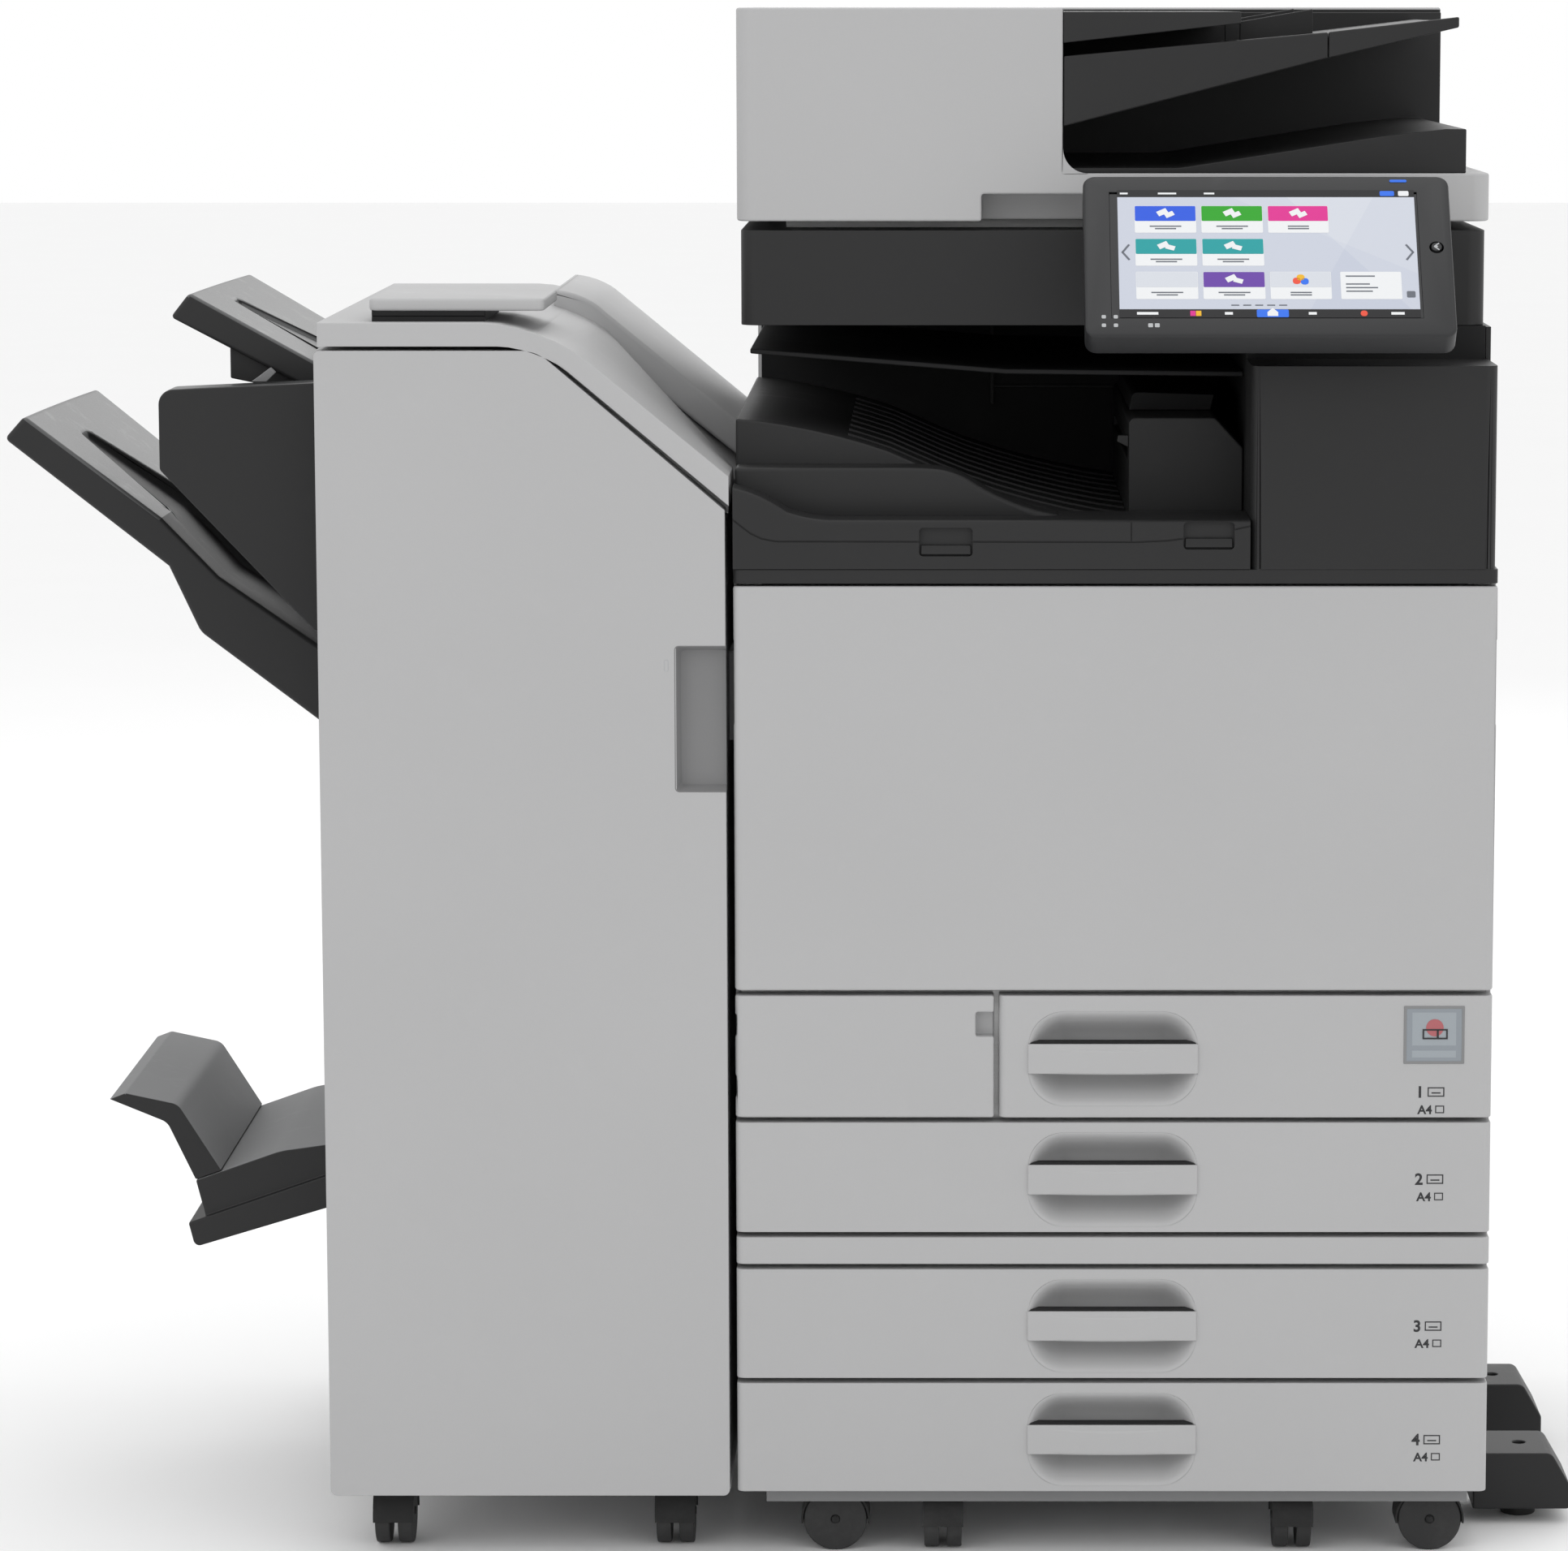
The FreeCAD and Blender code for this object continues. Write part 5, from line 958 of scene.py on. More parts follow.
def topCover():
    c = topSetup
    front, kneeX, edgeZ, topZ = c["depth"][0], c["rim"][4][0], c["rim"][3][1], c["rim"][5][1]

    def upperFrontEdge(middle, direction):
        atFront = middle.y < front + 0.0005 and abs(direction.y) < 0.1 and middle.z > edgeZ
        return atFront and (middle.z > topZ - 0.0018 or middle.x > kneeX + 0.0023)

    rim = profile("rim", c["rim"], "XZ", c["depth"],
                  [(c["kneeLow"], c["rim"][1]), (c["kneeHigh"], c["rim"][4])])
    cone = hollowCone()
    roundEdges(rim, upperFrontEdge, c["frontEdge"])
    bowl = profile("bowl", c["bowl"], "XZ", c["bowlDepth"])
    applied(rim, "BOOLEAN", operation="UNION", object=bowl, solver="EXACT")
    bpy.data.objects.remove(bowl)
    carve(rim, settle(cone))
    ridge = profile("ridge", c["ridge"], "XZ", c["ridgeDepth"], [(c["ridgeKnee"], c["ridge"][3])])
    slab = addBox("slab", *c["slab"])
    roundEdges(slab, alongZ, c["slabCorner"])
    for piece, width in ((ridge, c["ridgeEdge"]), (slab, c["slabEdge"])):
        soften(piece, width, 3, 28, False)
    return smooth(joined("finisher_top", [rim, ridge, slab]), 32)


give(topCover(), coverLight, "machine", "cover_light", ["finisher_top_cover"])
plinth = carve(addBox("plinth", *topSetup["plinth"]), addBox("line", *topSetup["plinthLine"]))
soften(plinth, topSetup["plinthEdge"], 2)
give(settle(plinth, "finisher_plinth"), cavityBlack, "machine", "cover_light")

# Finisher door: lining of the grip in a darker grey as painted shade of the recess, and the slot mark beside
# it
gripSetup = {"low": (-0.0915, -0.2708, 0.6113), "high": (-0.0529, -0.2583, 0.7237), "round": 0.0025,
             "leftEnd": -0.09, "backLine": -0.262, "middle": (-0.08, 0.64), "draft": 0.004, "wall": 0.0009,
             "edge": 0.0003, "mark": ((-0.0998, -0.2707, 0.7045), (-0.0968, -0.2700, 0.7135)),
             "markRound": 0.0012, "markRim": 0.0006, "markDepth": -0.0003}


def gripLining():
    c = gripSetup
    grip = addBox("grip", c["low"], c["high"])
    roundEdges(grip, lambda middle, direction: alongY(middle, direction) and middle.x < c["leftEnd"],
               c["round"], 5)
    pick(grip, "FACE", lambda place, normal: normal.y < -0.9 or normal.x > 0.9)
    bpy.ops.mesh.delete(type="FACE")
    leave(grip)
    for spot in grip.data.vertices:
        if spot.co.y > c["backLine"]:
            spot.co.x += c["draft"] if spot.co.x < c["middle"][0] else 0
            spot.co.z += c["draft"] if spot.co.z < c["middle"][1] else -c["draft"]
    applied(grip, "SOLIDIFY", thickness=c["wall"], offset=1)
    return smooth(soften(grip, c["edge"], 2, 50, False), 45)


# A darker grey for the grip lining: painted shade in the recess.
gripShadeGrey = mouldedPlastic("gripShadeGrey", (0.19, 0.19, 0.192, 1), {"rough": 0.5})
give(settle(gripLining(), "finisher_grip_lining"), gripShadeGrey, "finisher_door", "cover_light")
slotMark = addBox("finisher_slot_mark", *gripSetup["mark"])
roundEdges(slotMark, alongY, gripSetup["markRound"], 3)
insetFace(slotMark, facingFront, gripSetup["markRim"], gripSetup["markDepth"])
give(slotMark, printGrey, "finisher_door", "cover_light")
print("finisher front made")

# Exit trays: bowed tips, long grooves, grained tops with a painted highlight of the top light; "top" is a
# point of the top, its fall and its light end
traySetup = {
    "proof": {
        "body": "machine", "node": "proof_tray", "low": -0.1705, "high": 0.1495, "bow": 0.007,
        "edge": 0.0035,
        "top": (-0.4731, 0.9895, 0.553, -0.36),
        "outline": [(-0.4881, 0.9705), (-0.3664, 0.9065), (-0.3664, 0.9305), (-0.4731, 0.9895)],
        "floor": [(-0.452, 0.9735), (-0.360, 0.925), (-0.360, 1.05), (-0.452, 1.05)],
        "plan": [(-0.452, -0.062), (-0.452, -0.034), (-0.36, 0.01), (-0.36, -0.085)],
    },
    "shift": {
        "body": "shift_tray", "node": "shift_tray", "low": -0.1705, "high": 0.1495, "bow": 0.008,
        "edge": 0.004,
        "top": (-0.6038, 0.8935, 0.757, -0.5),
        "outline": [(-0.6198, 0.8755), (-0.4931, 0.7755), (-0.4691, 0.7235), (-0.3664, 0.6455),
                    (-0.3664, 0.7065), (-0.4541, 0.7675), (-0.4981, 0.8135), (-0.6038, 0.8935)],
        "floor": [(-0.575, 0.866), (-0.505, 0.806), (-0.462, 0.7545), (-0.36, 0.684), (-0.36, 1.0),
                  (-0.575, 1.0)],
        "plan": [(-0.575, -0.065), (-0.575, -0.035), (-0.49, 0.035), (-0.36, 0.085), (-0.36, -0.145),
                 (-0.49, -0.115)],
    },
}
tipSetup = {"zone": 0.03, "cuts": 15, "margin": 0.01, "grooveSpan": (0.6, 1.1), "skin": 0.004}


def exitTray(plan):
    low, high, margin = plan["low"], plan["high"], tipSetup["margin"]
    tray = profile("tray", plan["outline"], "XZ", (low, high))
    pick(tray, "EDGE", alongY)
    bpy.ops.mesh.subdivide(number_cuts=tipSetup["cuts"])
    leave(tray)
    tip = min(p[0] for p in plan["outline"])
    for spot in tray.data.vertices:
        if spot.co.x < tip + tipSetup["zone"]:
            spot.co.x += plan["bow"] * ((spot.co.y - low) / (high - low)) ** 2
    tool = profile("above", plan["floor"], "XZ", (low - margin, high + margin))
    wedge = profile("wedge", plan["plan"], "XY", tipSetup["grooveSpan"])
    applied(tool, "BOOLEAN", operation="INTERSECT", object=wedge, solver="EXACT")
    bpy.data.objects.remove(wedge)
    carve(tray, tool)
    return soften(tray, plan["edge"], 4, 28)


# Upward faces of the tray top up to its light end: the mask of the painted highlight from the top light.
def onTrayTop(plan):
    tipX, tipZ, fall, lightEnd = plan["top"]

    def test(place, normal):
        return (normal.z > 0.4 and place.x < lightEnd
                and place.z > tipZ - fall * (place.x - tipX) - tipSetup["skin"])
    return test


# Lighter, glossier grained black for the tray tops: the grain is real, the lighter colour is a painted sheen
# of the top light.
grainAndSheenBlack = mouldedPlastic("grainAndSheenBlack", (0.06, 0.061, 0.062, 1),
                           {"rough": 0.36, "specular": 0.6, "speck": 0.9, "grainScale": 800,
                            "grainDepth": 0.00012, "scuff": 0.1})
for key, plan in traySetup.items():
    tray = settle(exitTray(plan), f"{key}_tray.shell")
    give(tray, coverBlack, plan["body"], "plastic_black", [plan["node"]])
    # Tray tops painted lighter as a painted sheen of the top light.
    paint(tray, grainAndSheenBlack, onTrayTop(plan))

holderSetup = {
    "bracket": [(-0.4431, 0.9225), (-0.3664, 0.9065), (-0.3664, 0.9205), (-0.4431, 0.9545)],
    "bracketDepth": (-0.1605, 0.1395), "bracketEdge": 0.001,
    "lug": [(-0.4235, 0.9215), (-0.4115, 0.9215), (-0.4045, 0.9285), (-0.4085, 0.9325), (-0.4165, 0.9265)],
    "lugDepth": (-0.19, -0.182), "lugEdge": 0.0008,
}
bracket = profile("proof_bracket", holderSetup["bracket"], "XZ", holderSetup["bracketDepth"])
give(soften(bracket, holderSetup["bracketEdge"], 2), coverBlack, "machine", "plastic_black")
lug = profile("side_cover_lug", holderSetup["lug"], "XZ", holderSetup["lugDepth"])
give(soften(lug, holderSetup["lugEdge"], 2), sheenAndLugGrey, "machine", "plastic_black")
# Top faces of the side cover get the same painted sheen of the top light.
paint(skins["tray_side_cover"], grainAndSheenBlack, lambda place, normal: normal.z > 0.6)
print("exit trays made")

# Output area: front moulding with its parting line and finger recesses, bed with ribs, step, wall panels
outputSetup = {
    "front": [(-0.0468, 0.7833), (0.3497, 0.7833), (0.3497, 0.8213), (0.0152, 0.8213), (-0.0048, 0.8273),
              (-0.0248, 0.8403), (-0.0468, 0.8463)],
    "frontDepth": (-0.2705, -0.1945), "frontRound": 0.014, "frontEdge": 0.0035, "edgeFrom": 0.8205,
    "bed": [(-0.0468, 0.7833), (0.3497, 0.7833), (0.3497, 0.8113), (0.2597, 0.8113), (0.1832, 0.8193),
            (0.0732, 0.8673), (0.0132, 0.8893), (-0.0468, 0.8933)],
    "bedDepth": (-0.1955, 0.2982), "bedRound": 0.12, "bedEdge": 0.002,
    "rib": [(0.0400, 0.8000), (0.2597, 0.8000), (0.2597, 0.8128), (0.1832, 0.8208), (0.0732, 0.8688),
            (0.0400, 0.8795)],
    "ribCount": 9, "ribStart": -0.16, "ribPitch": 0.05, "ribHalf": 0.001,
    "step": [(-0.0465, 0.8100), (-0.0465, 0.8585), (0.0980, 0.8585), (0.1250, 0.8560), (0.1640, 0.8290),
             (0.2050, 0.8216), (0.2050, 0.8100)],
    "stepDepth": (-0.2355, -0.195), "stepRounds": (0.012, 0.03, 0.05), "stepEdge": 0.003,
    "parting": [(-0.0468, 0.8215), (-0.0405, 0.8165), (-0.033, 0.8108), (-0.025, 0.8070), (-0.014, 0.8047),
                (0.262, 0.8042), (0.285, 0.8052), (0.312, 0.8085), (0.3497, 0.8165)],
    "partingWidth": 0.0014, "seam": [(0.2585, 0.8047), (0.2585, 0.8235)], "seamWidth": 0.0012,
    "recesses": [(0.096, 0.137, 0.7932, 0.8152), (0.2985, 0.3375, 0.7985, 0.8195)],
    "recessDepth": (-0.272, -0.2655), "recessRound": 0.003,
    "latchInset": 0.0015, "latchFront": -0.2703, "latchHeight": 0.0085, "latchLean": 0.0022,
    "tab": [(0.2597, 0.868), (0.2507, 0.8725), (0.2517, 0.8775), (0.2597, 0.8775)],
    "tabDepth": (-0.1585, -0.1485),
    "cap": [(0.2622, 0.8917), (0.3275, 0.8917), (0.3305, 0.9045), (0.2652, 0.9065)],
    "capDepth": (-0.085, 0.2),
    "capRound": 0.004, "wallDepth": (0.2935, 0.2975),
    "wallRibs": [(0.155, 0.1585, 0.87, 0.945), (-0.037, 0.02, 0.921, 0.9235), (0.02, 0.0225, 0.921, 0.946),
                 (0.1585, 0.3, 0.884, 0.8865)],
}


def grooveTool(points, width):
    # A square bar led along the points, used to cut a fine line into the front face.
    bars, front = [], outputSetup["frontDepth"][0]
    for (x0, z0), (x1, z1) in zip(points, points[1:]):
        start, end = Vector((x0, 0, z0)), Vector((x1, 0, z1))
        along = (end - start).normalized()
        lap = width * 0.2
        bar = addBox("bar", (-lap, front - 2 * overrun, -width / 2),
                     ((end - start).length + lap, front + width, width / 2))
        bar.rotation_euler.y = -math.atan2(along.z, along.x)
        bar.location = start
        bars.append(settle(bar))
    return bars


def frontMoulding():
    c = outputSetup
    front = c["frontDepth"][0]
    moulding = profile("moulding", c["front"], "XZ", c["frontDepth"],
                       [(c["frontRound"], c["front"][3]), (c["frontRound"], c["front"][5])])
    roundEdges(moulding, lambda middle, direction: middle.y < front + 0.0005 and abs(direction.y) < 0.1
               and middle.z > c["edgeFrom"], c["frontEdge"], 3)
    carve(moulding, *grooveTool(c["parting"], c["partingWidth"]))
    carve(moulding, *grooveTool(c["seam"], c["seamWidth"]))
    for x0, x1, z0, z1 in c["recesses"]:
        pocket = addBox("pocket", (x0, c["recessDepth"][0], z0), (x1, c["recessDepth"][1], z1))
        roundEdges(pocket, alongY, c["recessRound"])
        carve(moulding, pocket)
    return smooth(moulding, 35)


def bedAndStep():
    c = outputSetup
    bed = profile("bed", c["bed"], "XZ", c["bedDepth"],
                  [(c["bedRound"], c["bed"][4]), (c["bedRound"], c["bed"][6])])
    step = profile("step", c["step"], "XZ", c["stepDepth"], list(zip(c["stepRounds"], c["step"][2:5])))
    for piece, width in ((bed, c["bedEdge"]), (step, c["stepEdge"])):
        soften(piece, width, 3, 28, False)
    return [bed, step]


def outputLatch(name, x0, x1, z0):
    c = outputSetup
    latch = addBox("latch", (x0 + c["latchInset"], c["latchFront"], z0 + c["latchInset"]),
                   (x1 - c["latchInset"], c["recessDepth"][1], z0 + c["latchHeight"]))
    pick(latch, "FACE", facingUp)
    bpy.ops.transform.translate(value=(0, c["latchLean"], 0))
    leave(latch)
    return settle(soften(latch, 0.0008, 2), name)


outputShell = [frontMoulding()] + bedAndStep()
ribsOnBed = []
for count in range(outputSetup["ribCount"]):
    y = outputSetup["ribStart"] + count * outputSetup["ribPitch"]
    ribsOnBed.append(profile("rib", outputSetup["rib"], "XZ",
                             (y - outputSetup["ribHalf"], y + outputSetup["ribHalf"]),
                             [(outputSetup["bedRound"], outputSetup["rib"][3])]))
give(smooth(joined("output_tray.shell", outputShell), 32), coverBlack, "machine", "plastic_black",
     ["output_tray"])
give(smooth(joined("output_ribs", ribsOnBed), 32), coverBlack, "machine", "plastic_black")
for number, (x0, x1, z0, z1) in enumerate(outputSetup["recesses"]):
    give(outputLatch(f"output_latch_{number}", x0, x1, z0), coverBlack, "machine", "plastic_black")
tab = profile("exit_tab", outputSetup["tab"], "XZ", outputSetup["tabDepth"])
give(soften(tab, 0.0008, 2), coverBlack, "machine", "plastic_black")
cap = profile("exit_cap", outputSetup["cap"], "XZ", outputSetup["capDepth"],
              [(outputSetup["capRound"], outputSetup["cap"][3])])
give(soften(cap, 0.0012, 2), cavityBlack, "machine", "plastic_black")
wallNear, wallFar = outputSetup["wallDepth"]
wallRibs = [addBox("rib", (x0, wallNear, z0), (x1, wallFar, z1))
            for x0, x1, z0, z1 in outputSetup["wallRibs"]]
give(soften(joined("cavity_ribs", wallRibs), 0.0006, 2), coverBlack, "machine", "plastic_black")
print("output area made")

# Document feeder: rounded inner corner, tray ribs, pick rollers, mark on the hood
feederSetup = {
    "corner": (0.2072, 1.0825), "radius": 0.019, "front": (-0.1856, -0.1805), "lap": 0.0004,
    "rib": [(0.346, 1.1806), (0.41, 1.1885), (0.41, 1.1895), (0.346, 1.1817)], "ribCount": 7,
    "ribStart": -0.14, "ribPitch": 0.05, "ribHalf": 0.0012,
    "rollerX": (0.06, 0.15), "rollerY": (-0.02, 0.08), "rollerZ": 1.1905, "rollerRadius": 0.009,
    "rollerLength": 0.03, "shaft": (-0.12, 0.2), "shaftRadius": 0.003, "rollerEdge": 0.0006,
    "mark": (0.247, -0.06), "markHeight": (1.2056, 1.2064), "markRadius": 0.011,
}


def feederCorner():
    c = feederSetup
    cx, cz = c["corner"]
    radius, lap = c["radius"], c["lap"]
    arc = []
    for angle in range(0, 91, 10):
        turn = math.radians(angle)
        arc.append((cx + radius - radius * math.sin(turn), cz + radius - radius * math.cos(turn)))
    return smooth(profile("feeder_corner", [(cx - lap, cz - lap)] + arc, "XZ", c["front"]), 30)


def feedRollers():
    c = feederSetup
    z, length = c["rollerZ"], c["rollerLength"]
    rods = [addRod("roller", (x, y, z), (x, y + length, z), c["rollerRadius"])
            for x in c["rollerX"] for y in c["rollerY"]]
    rods += [addRod("shaft", (x, c["shaft"][0], z), (x, c["shaft"][1], z), c["shaftRadius"], 20)
             for x in c["rollerX"]]
    return soften(joined("feed_rollers", rods), c["rollerEdge"], 2)


give(feederCorner(), coverLight, "document_feeder", "cover_light")
trayRibs = []
for step in range(feederSetup["ribCount"]):
    y = feederSetup["ribStart"] + step * feederSetup["ribPitch"]
    trayRibs.append(profile("rib", feederSetup["rib"], "XZ",
                            (y - feederSetup["ribHalf"], y + feederSetup["ribHalf"])))
give(smooth(joined("document_ribs", trayRibs), 30), coverBlack, "document_feeder", "plastic_black")
give(feedRollers(), rollerRubber, "document_feeder", "unit_plastic")
markLow, markHigh = feederSetup["markHeight"]
hoodMark = addRod("hood_mark", (*feederSetup["mark"], markLow), (*feederSetup["mark"], markHigh),
                  feederSetup["markRadius"])
give(insetFace(hoodMark, facingUp, 0.0015, -0.0005), cavityBlack, "document_feeder", "plastic_black")
print("document feeder made")

# Inside the paper trays: stacks and fences; each stack has its near left and far right corner
stackSetup = {
    "small": ((0.19, -0.14), (0.487, 0.07)), "large": ((-0.008, -0.15), (0.412, 0.147)), "lift": 0.0066,
    "height": 0.042, "cuts": 5, "wave": 0.0006, "waveLength": 500, "edge": 0.0003,
    "fenceX": (0.1, 0.16), "fenceGap": 0.0006, "fenceReach": 0.004, "fenceHeight": 0.052,
    "fenceRound": 0.006,
    "endInset": 0.06, "endWidth": 0.004, "endHeight": 0.05,
}


def paperStackPiece(low, near, far):
    c = stackSetup
    stack = addBox("stack", (*near, low), (*far, low + c["height"]))
    pick(stack, "EDGE", alongZ)
    bpy.ops.mesh.subdivide(number_cuts=c["cuts"])
    leave(stack)
    for spot in stack.data.vertices:
        spot.co.x += c["wave"] * math.sin(spot.co.z * c["waveLength"])
    return soften(stack, c["edge"], 1)


def paperFences(name, low, near, far):
    c = stackSetup
    (x0, y0), (x1, y1) = near, far
    left, right = x0 + c["fenceX"][0], x0 + c["fenceX"][1]
    fences = []
    for y, side in ((y0, -1), (y1, 1)):
        edges = sorted((y + side * c["fenceGap"], y + side * c["fenceReach"]))
        fence = addBox("fence", (left, edges[0], low), (right, edges[1], low + c["fenceHeight"]))
        roundEdges(fence, lambda middle, direction: alongY(middle, direction) and middle.z > low + 0.02,
                   c["fenceRound"], 3)
        fences.append(fence)
    start = x1 + c["fenceGap"]
    fences.append(addBox("fence", (start, y0 + c["endInset"], low),
                         (start + c["endWidth"], y1 - c["endInset"], low + c["endHeight"])))
    return soften(joined(name, fences), 0.0006, 2)


for number, (trayLow, height) in trayPlan.items():
    near, far = stackSetup["small" if number == 1 else "large"]
    low, body = trayLow + stackSetup["lift"], f"paper_tray_{number}"
    give(settle(paperStackPiece(low, near, far), f"paper_stack_{number}"), paperStack, body, "pad_white")
    give(paperFences(f"paper_fences_{number}", low, near, far), bottleFinishes[2], body, "unit_plastic")

# Behind the front door: bottle caps and the green levers of the units
insideSetup = {
    "bottleX": (0.0452, 0.1632, 0.2812, 0.3992), "bottleZ": 0.7313, "capY": (-0.2405, -0.2465),
    "capRadius": 0.026,
    "bottleLeft": 0.0162, "bottleWidth": 0.058, "bottlePitch": 0.118, "bottleSlack": 0.01,
    "leverX": (0.038, 0.142, 0.246, 0.35), "leverHalf": 0.012, "leverZ": (0.52, 0.56),
    "leverY": (-0.2395, -0.2285),
    "wasteLeverX": (0.43, 0.485), "wasteLeverZ": (0.55, 0.575), "leverRound": 0.008,
}


def bottleCap(index, centreX):
    c = insideSetup
    back, front = c["capY"]
    cap = addRod("cap", (centreX, back, c["bottleZ"]), (centreX, front, c["bottleZ"]), c["capRadius"], 48)
    insetFace(cap, facingFront, 0.005, -0.002)
    insetFace(cap, lambda place, normal: facingFront(place, normal) and abs(place.x - centreX) < 1e-3,
              0.009, 0.0015)
    return settle(soften(cap, 0.0006, 2), f"bottle_cap_{index}")


def leverPiece(x0, x1, z0, z1):
    near, far = insideSetup["leverY"]
    lever = addBox("lever", (x0, near, z0), (x1, far, z1))
    roundEdges(lever, alongY, insideSetup["leverRound"])
    return insetFace(lever, facingFront, 0.003, -0.002)


for index, centreX in enumerate(insideSetup["bottleX"]):
    give(bottleCap(index, centreX), bottleFinishes[index], "machine", "bottle_plastic")
bottles, slack = frame["nodes"]["toner_bottles"], insideSetup["bottleSlack"]
for index, finish in enumerate(bottleFinishes[:3]):
    left = insideSetup["bottleLeft"] + index * insideSetup["bottlePitch"]
    right = left + insideSetup["bottleWidth"]
    paint(bottles, finish, lambda place, normal: left - slack < place.x < right + slack)
half = insideSetup["leverHalf"]
levers = [leverPiece(x - half, x + half, *insideSetup["leverZ"]) for x in insideSetup["leverX"]]
levers.append(leverPiece(*insideSetup["wasteLeverX"], *insideSetup["wasteLeverZ"]))
give(soften(joined("unit_levers", levers), 0.0006, 2), leverGreen, "machine", "unit_plastic")
print("inside made")

# Rear cover with louvres backed by a dark sheet as painted shade, power inlet and sunk screws
rearSetup = {
    "plate": ((-0.0468, 0.3385, 0.057), (0.5402, 0.3425, 0.964)), "edge": 0.0012,
    "rows": 8, "pitch": 0.016, "opening": 0.006, "cut": (0.337, 0.344),
    "louvres": [(0.0132, 0.1732, 0.5155), (0.3402, 0.4802, 0.5155)], "shadeBacking": (0.3372, 0.3383),
    "lap": 0.004,
    "inlet": (0.4102, 0.4482, 0.3395, 0.3695), "socket": (0.3386, 0.3422), "socketGap": 0.0004,
    "socketWall": 0.002,
    "seatFront": 0.3392, "tongues": (0.009, 0.017, 0.025), "tongueY": (0.339, 0.3412),
    "tongueX": 0.004, "tongueZ": (0.011, 0.019),
}
screwSetup = {"head": 0.0042, "depth": 0.0012, "gap": 0.0012, "sunk": 0.0002, "taper": 0.8,
              "crossReach": 0.0026, "crossHalf": 0.0005, "cross": (0.3417, 0.343),
              "spots": [(x, z) for z in (0.085, 0.38, 0.66, 0.93) for x in (-0.03, 0.247, 0.523)]}


def screwHead(x, z, face):
    c = screwSetup
    near, far = c["cross"]
    reach, half = c["crossReach"], c["crossHalf"]
    head = addRod("head", (x, face - c["depth"] - c["sunk"], z), (x, face - c["sunk"], z), c["head"], 20,
                  c["head"] * c["taper"])
    return carve(head, addBox("cross", (x - reach, near, z - half), (x + reach, far, z + half)),
                 addBox("cross", (x - half, near, z - reach), (x + half, far, z + reach)))


def rearCutters():
    c = rearSetup
    near, far = c["cut"]
    slots = []
    for x0, x1, low in c["louvres"]:
        for row in range(c["rows"]):
            z = low + row * c["pitch"]
            slots.append(addBox("slot", (x0, near, z), (x1, far, z + c["opening"])))
    x0, x1, z0, z1 = c["inlet"]
    return slots + [addBox("slot", (x0, near, z0), (x1, far, z1))]


rearFace = rearSetup["plate"][1][1]
heads, pits = [], []
for x, z in screwSetup["spots"]:
    pits.append(addRod("pit", (x, rearFace + overrun, z), (x, rearFace - screwSetup["depth"], z),
                       screwSetup["head"] + screwSetup["gap"], 20))
    heads.append(screwHead(x, z, rearFace))
rearCover = soften(addBox("rear", *rearSetup["plate"]), rearSetup["edge"], 2, 30, False)
carve(rearCover, joined("slots", rearCutters()), joined("pits", pits))
give(smooth(settle(rearCover, "rear_cover.shell"), 30), coverLight, "machine", "cover_light", ["rear_cover"])
# A dark sheet behind the louvre slots: painted shade of the machine's interior seen through them.
span, lap = rearSetup["rows"] * rearSetup["pitch"], rearSetup["lap"]
backNear, backFar = rearSetup["shadeBacking"]
shadeBacking = [addBox("shadeBacking", (x0 - lap, backNear, low - lap), (x1 + lap, backFar, low + span))
           for x0, x1, low in rearSetup["louvres"]]
give(joined("louvre_shade_backing", shadeBacking), cavityBlack, "machine", "cover_light")
give(smooth(joined("rear_screws", heads), 40), pinSteel, "machine", "frame_steel")
x0, x1, z0, z1 = rearSetup["inlet"]
gap, wall, (near, far) = rearSetup["socketGap"], rearSetup["socketWall"], rearSetup["socket"]
seats = [ringBox((x0 + gap, near, z0 + gap), (x1 - gap, far, z1 - gap), wall),
         addBox("seat", (x0 + wall, near, z0 + wall), (x1 - wall, rearSetup["seatFront"], z1 - wall))]
tongueNear, tongueFar = rearSetup["tongueY"]
tongueLow, tongueHigh = (z0 + rise for rise in rearSetup["tongueZ"])
pins = [addBox("tongue", (x0 + place, tongueNear, tongueLow),
               (x0 + place + rearSetup["tongueX"], tongueFar, tongueHigh)) for place in rearSetup["tongues"]]
give(joined("rear_sockets", seats), coverBlack, "machine", "plastic_black")
give(joined("rear_socket_tongues", pins), pinSteel, "machine", "frame_steel")

# Rails that the shift tray rides down, on the finisher's left side
railSetup = {"face": (-0.3661, -0.3656), "rows": (-0.12, 0.09), "width": 0.012, "span": (0.42, 0.905)}
rails = []
for y in railSetup["rows"]:
    (outer, inner), (low, high) = railSetup["face"], railSetup["span"]
    rail = addBox("rail", (outer, y, low), (inner, y + railSetup["width"], high))
    rails.append(insetFace(rail, lambda place, normal: normal.x < -0.9, 0.0015, -0.0001))
give(joined("lift_rails", rails), cavityBlack, "machine", "plastic_black")
print("back and sides made")

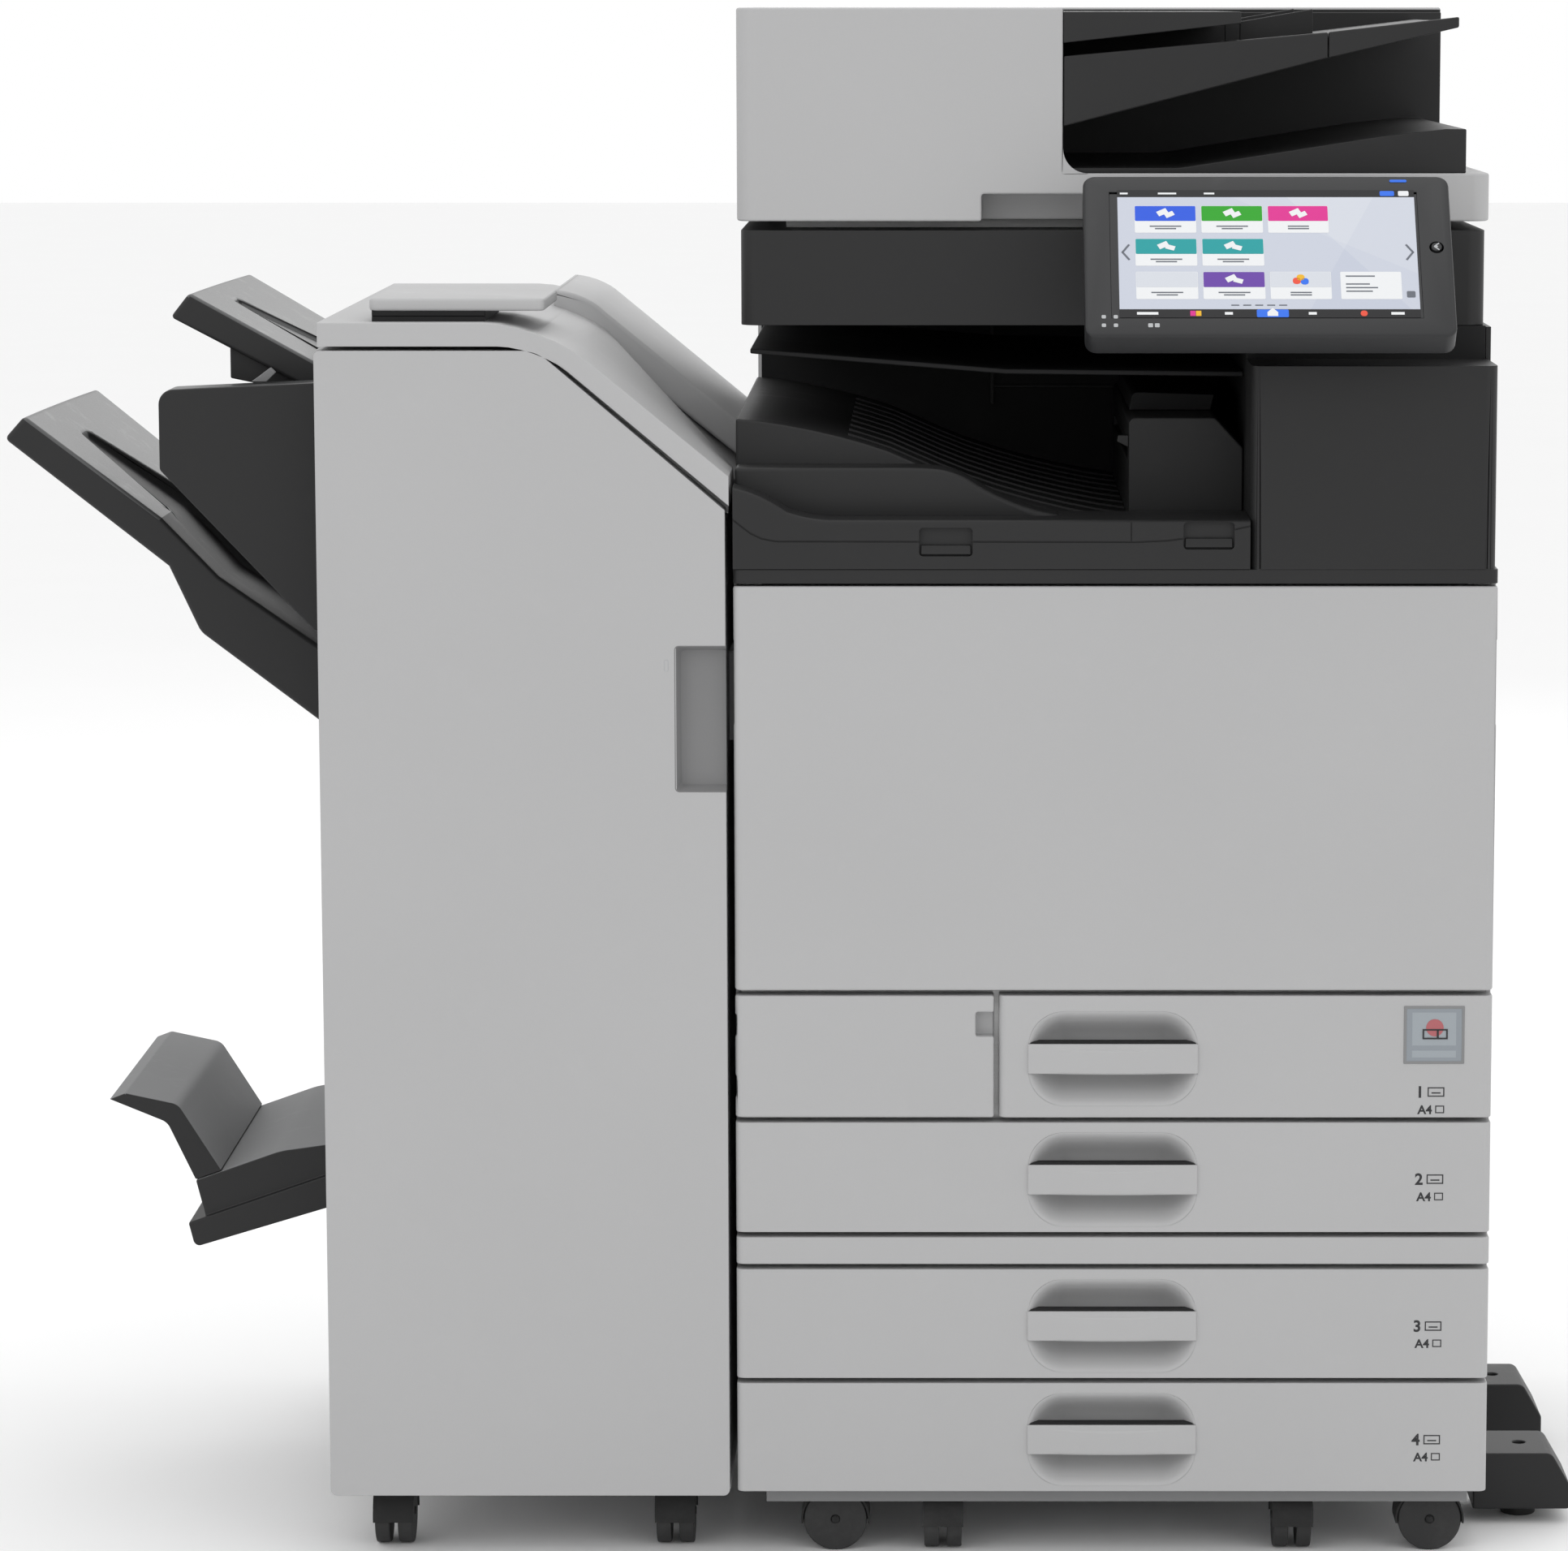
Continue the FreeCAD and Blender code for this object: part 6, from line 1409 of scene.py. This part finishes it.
# Floor, light and camera
stageSetup = {"floorSize": 60, "floorLevel": 0.93, "floorShade": 0.985, "worldLevel": 1.0}
clearPick()
bpy.ops.mesh.primitive_plane_add(size=stageSetup["floorSize"])
floor = bpy.context.object
floor.name = "studioFloor"
floorFinish = Finish("floorPale", Roughness=0.9, Specular_IOR_Level=0.1)
haze, level = floorFinish.noise(3, 3, 0.5), stageSetup["floorLevel"]
floorFinish.put(Base_Color=floorFinish.mix(haze, grey(level * stageSetup["floorShade"]), grey(level)))
floor.data.materials.append(floorFinish.material)

world = bpy.data.worlds.new("studioWorld")
world.use_nodes = True
background = world.node_tree.nodes["Background"]
background.inputs["Color"].default_value = grey(1)
background.inputs["Strength"].default_value = stageSetup["worldLevel"]
bpy.context.scene.world = world

lightSetup = {  # place, aim, size and power of each
    "keyLight": ((-2.6, -3.6, 3.6), (0, 0, 0.7), (2.4, 2.4), 26),
    "fillLight": ((3.2, -3.4, 2.2), (0, 0, 0.6), (2.6, 2.6), 12),
    "topLight": ((0.2, 0.2, 4.2), (0, 0, 0.9), (2.6, 2.0), 22),
    "rearLight": ((1.2, 4.2, 2.8), (0, 0, 0.7), (3.0, 2.4), 22),
}


def softLight(name, place, aim, size, power):
    clearPick()
    bpy.ops.object.light_add(type="AREA", location=place)
    lamp = bpy.context.object
    lamp.name = name
    lamp.data.shape = "RECTANGLE"
    lamp.data.size, lamp.data.size_y = size
    lamp.data.energy = power
    lamp.rotation_euler = (Vector(aim) - Vector(place)).to_track_quat("-Z", "Y").to_euler()


for name, light in lightSetup.items():
    softLight(name, *light)

cameraSetup = {"place": (0.1143, -4.5205, 1.212), "pitch": 82.12, "lens": 127.9, "sensor": 36,
               "shift": -0.1014}
clearPick()
bpy.ops.object.camera_add(location=cameraSetup["place"], rotation=(math.radians(cameraSetup["pitch"]), 0, 0))
camera = bpy.context.object
camera.data.lens = cameraSetup["lens"]
camera.data.sensor_width = cameraSetup["sensor"]
camera.data.shift_x = cameraSetup["shift"]
bpy.context.scene.camera = camera
bpy.context.scene.view_settings.view_transform = "Standard"
print("stage ready")
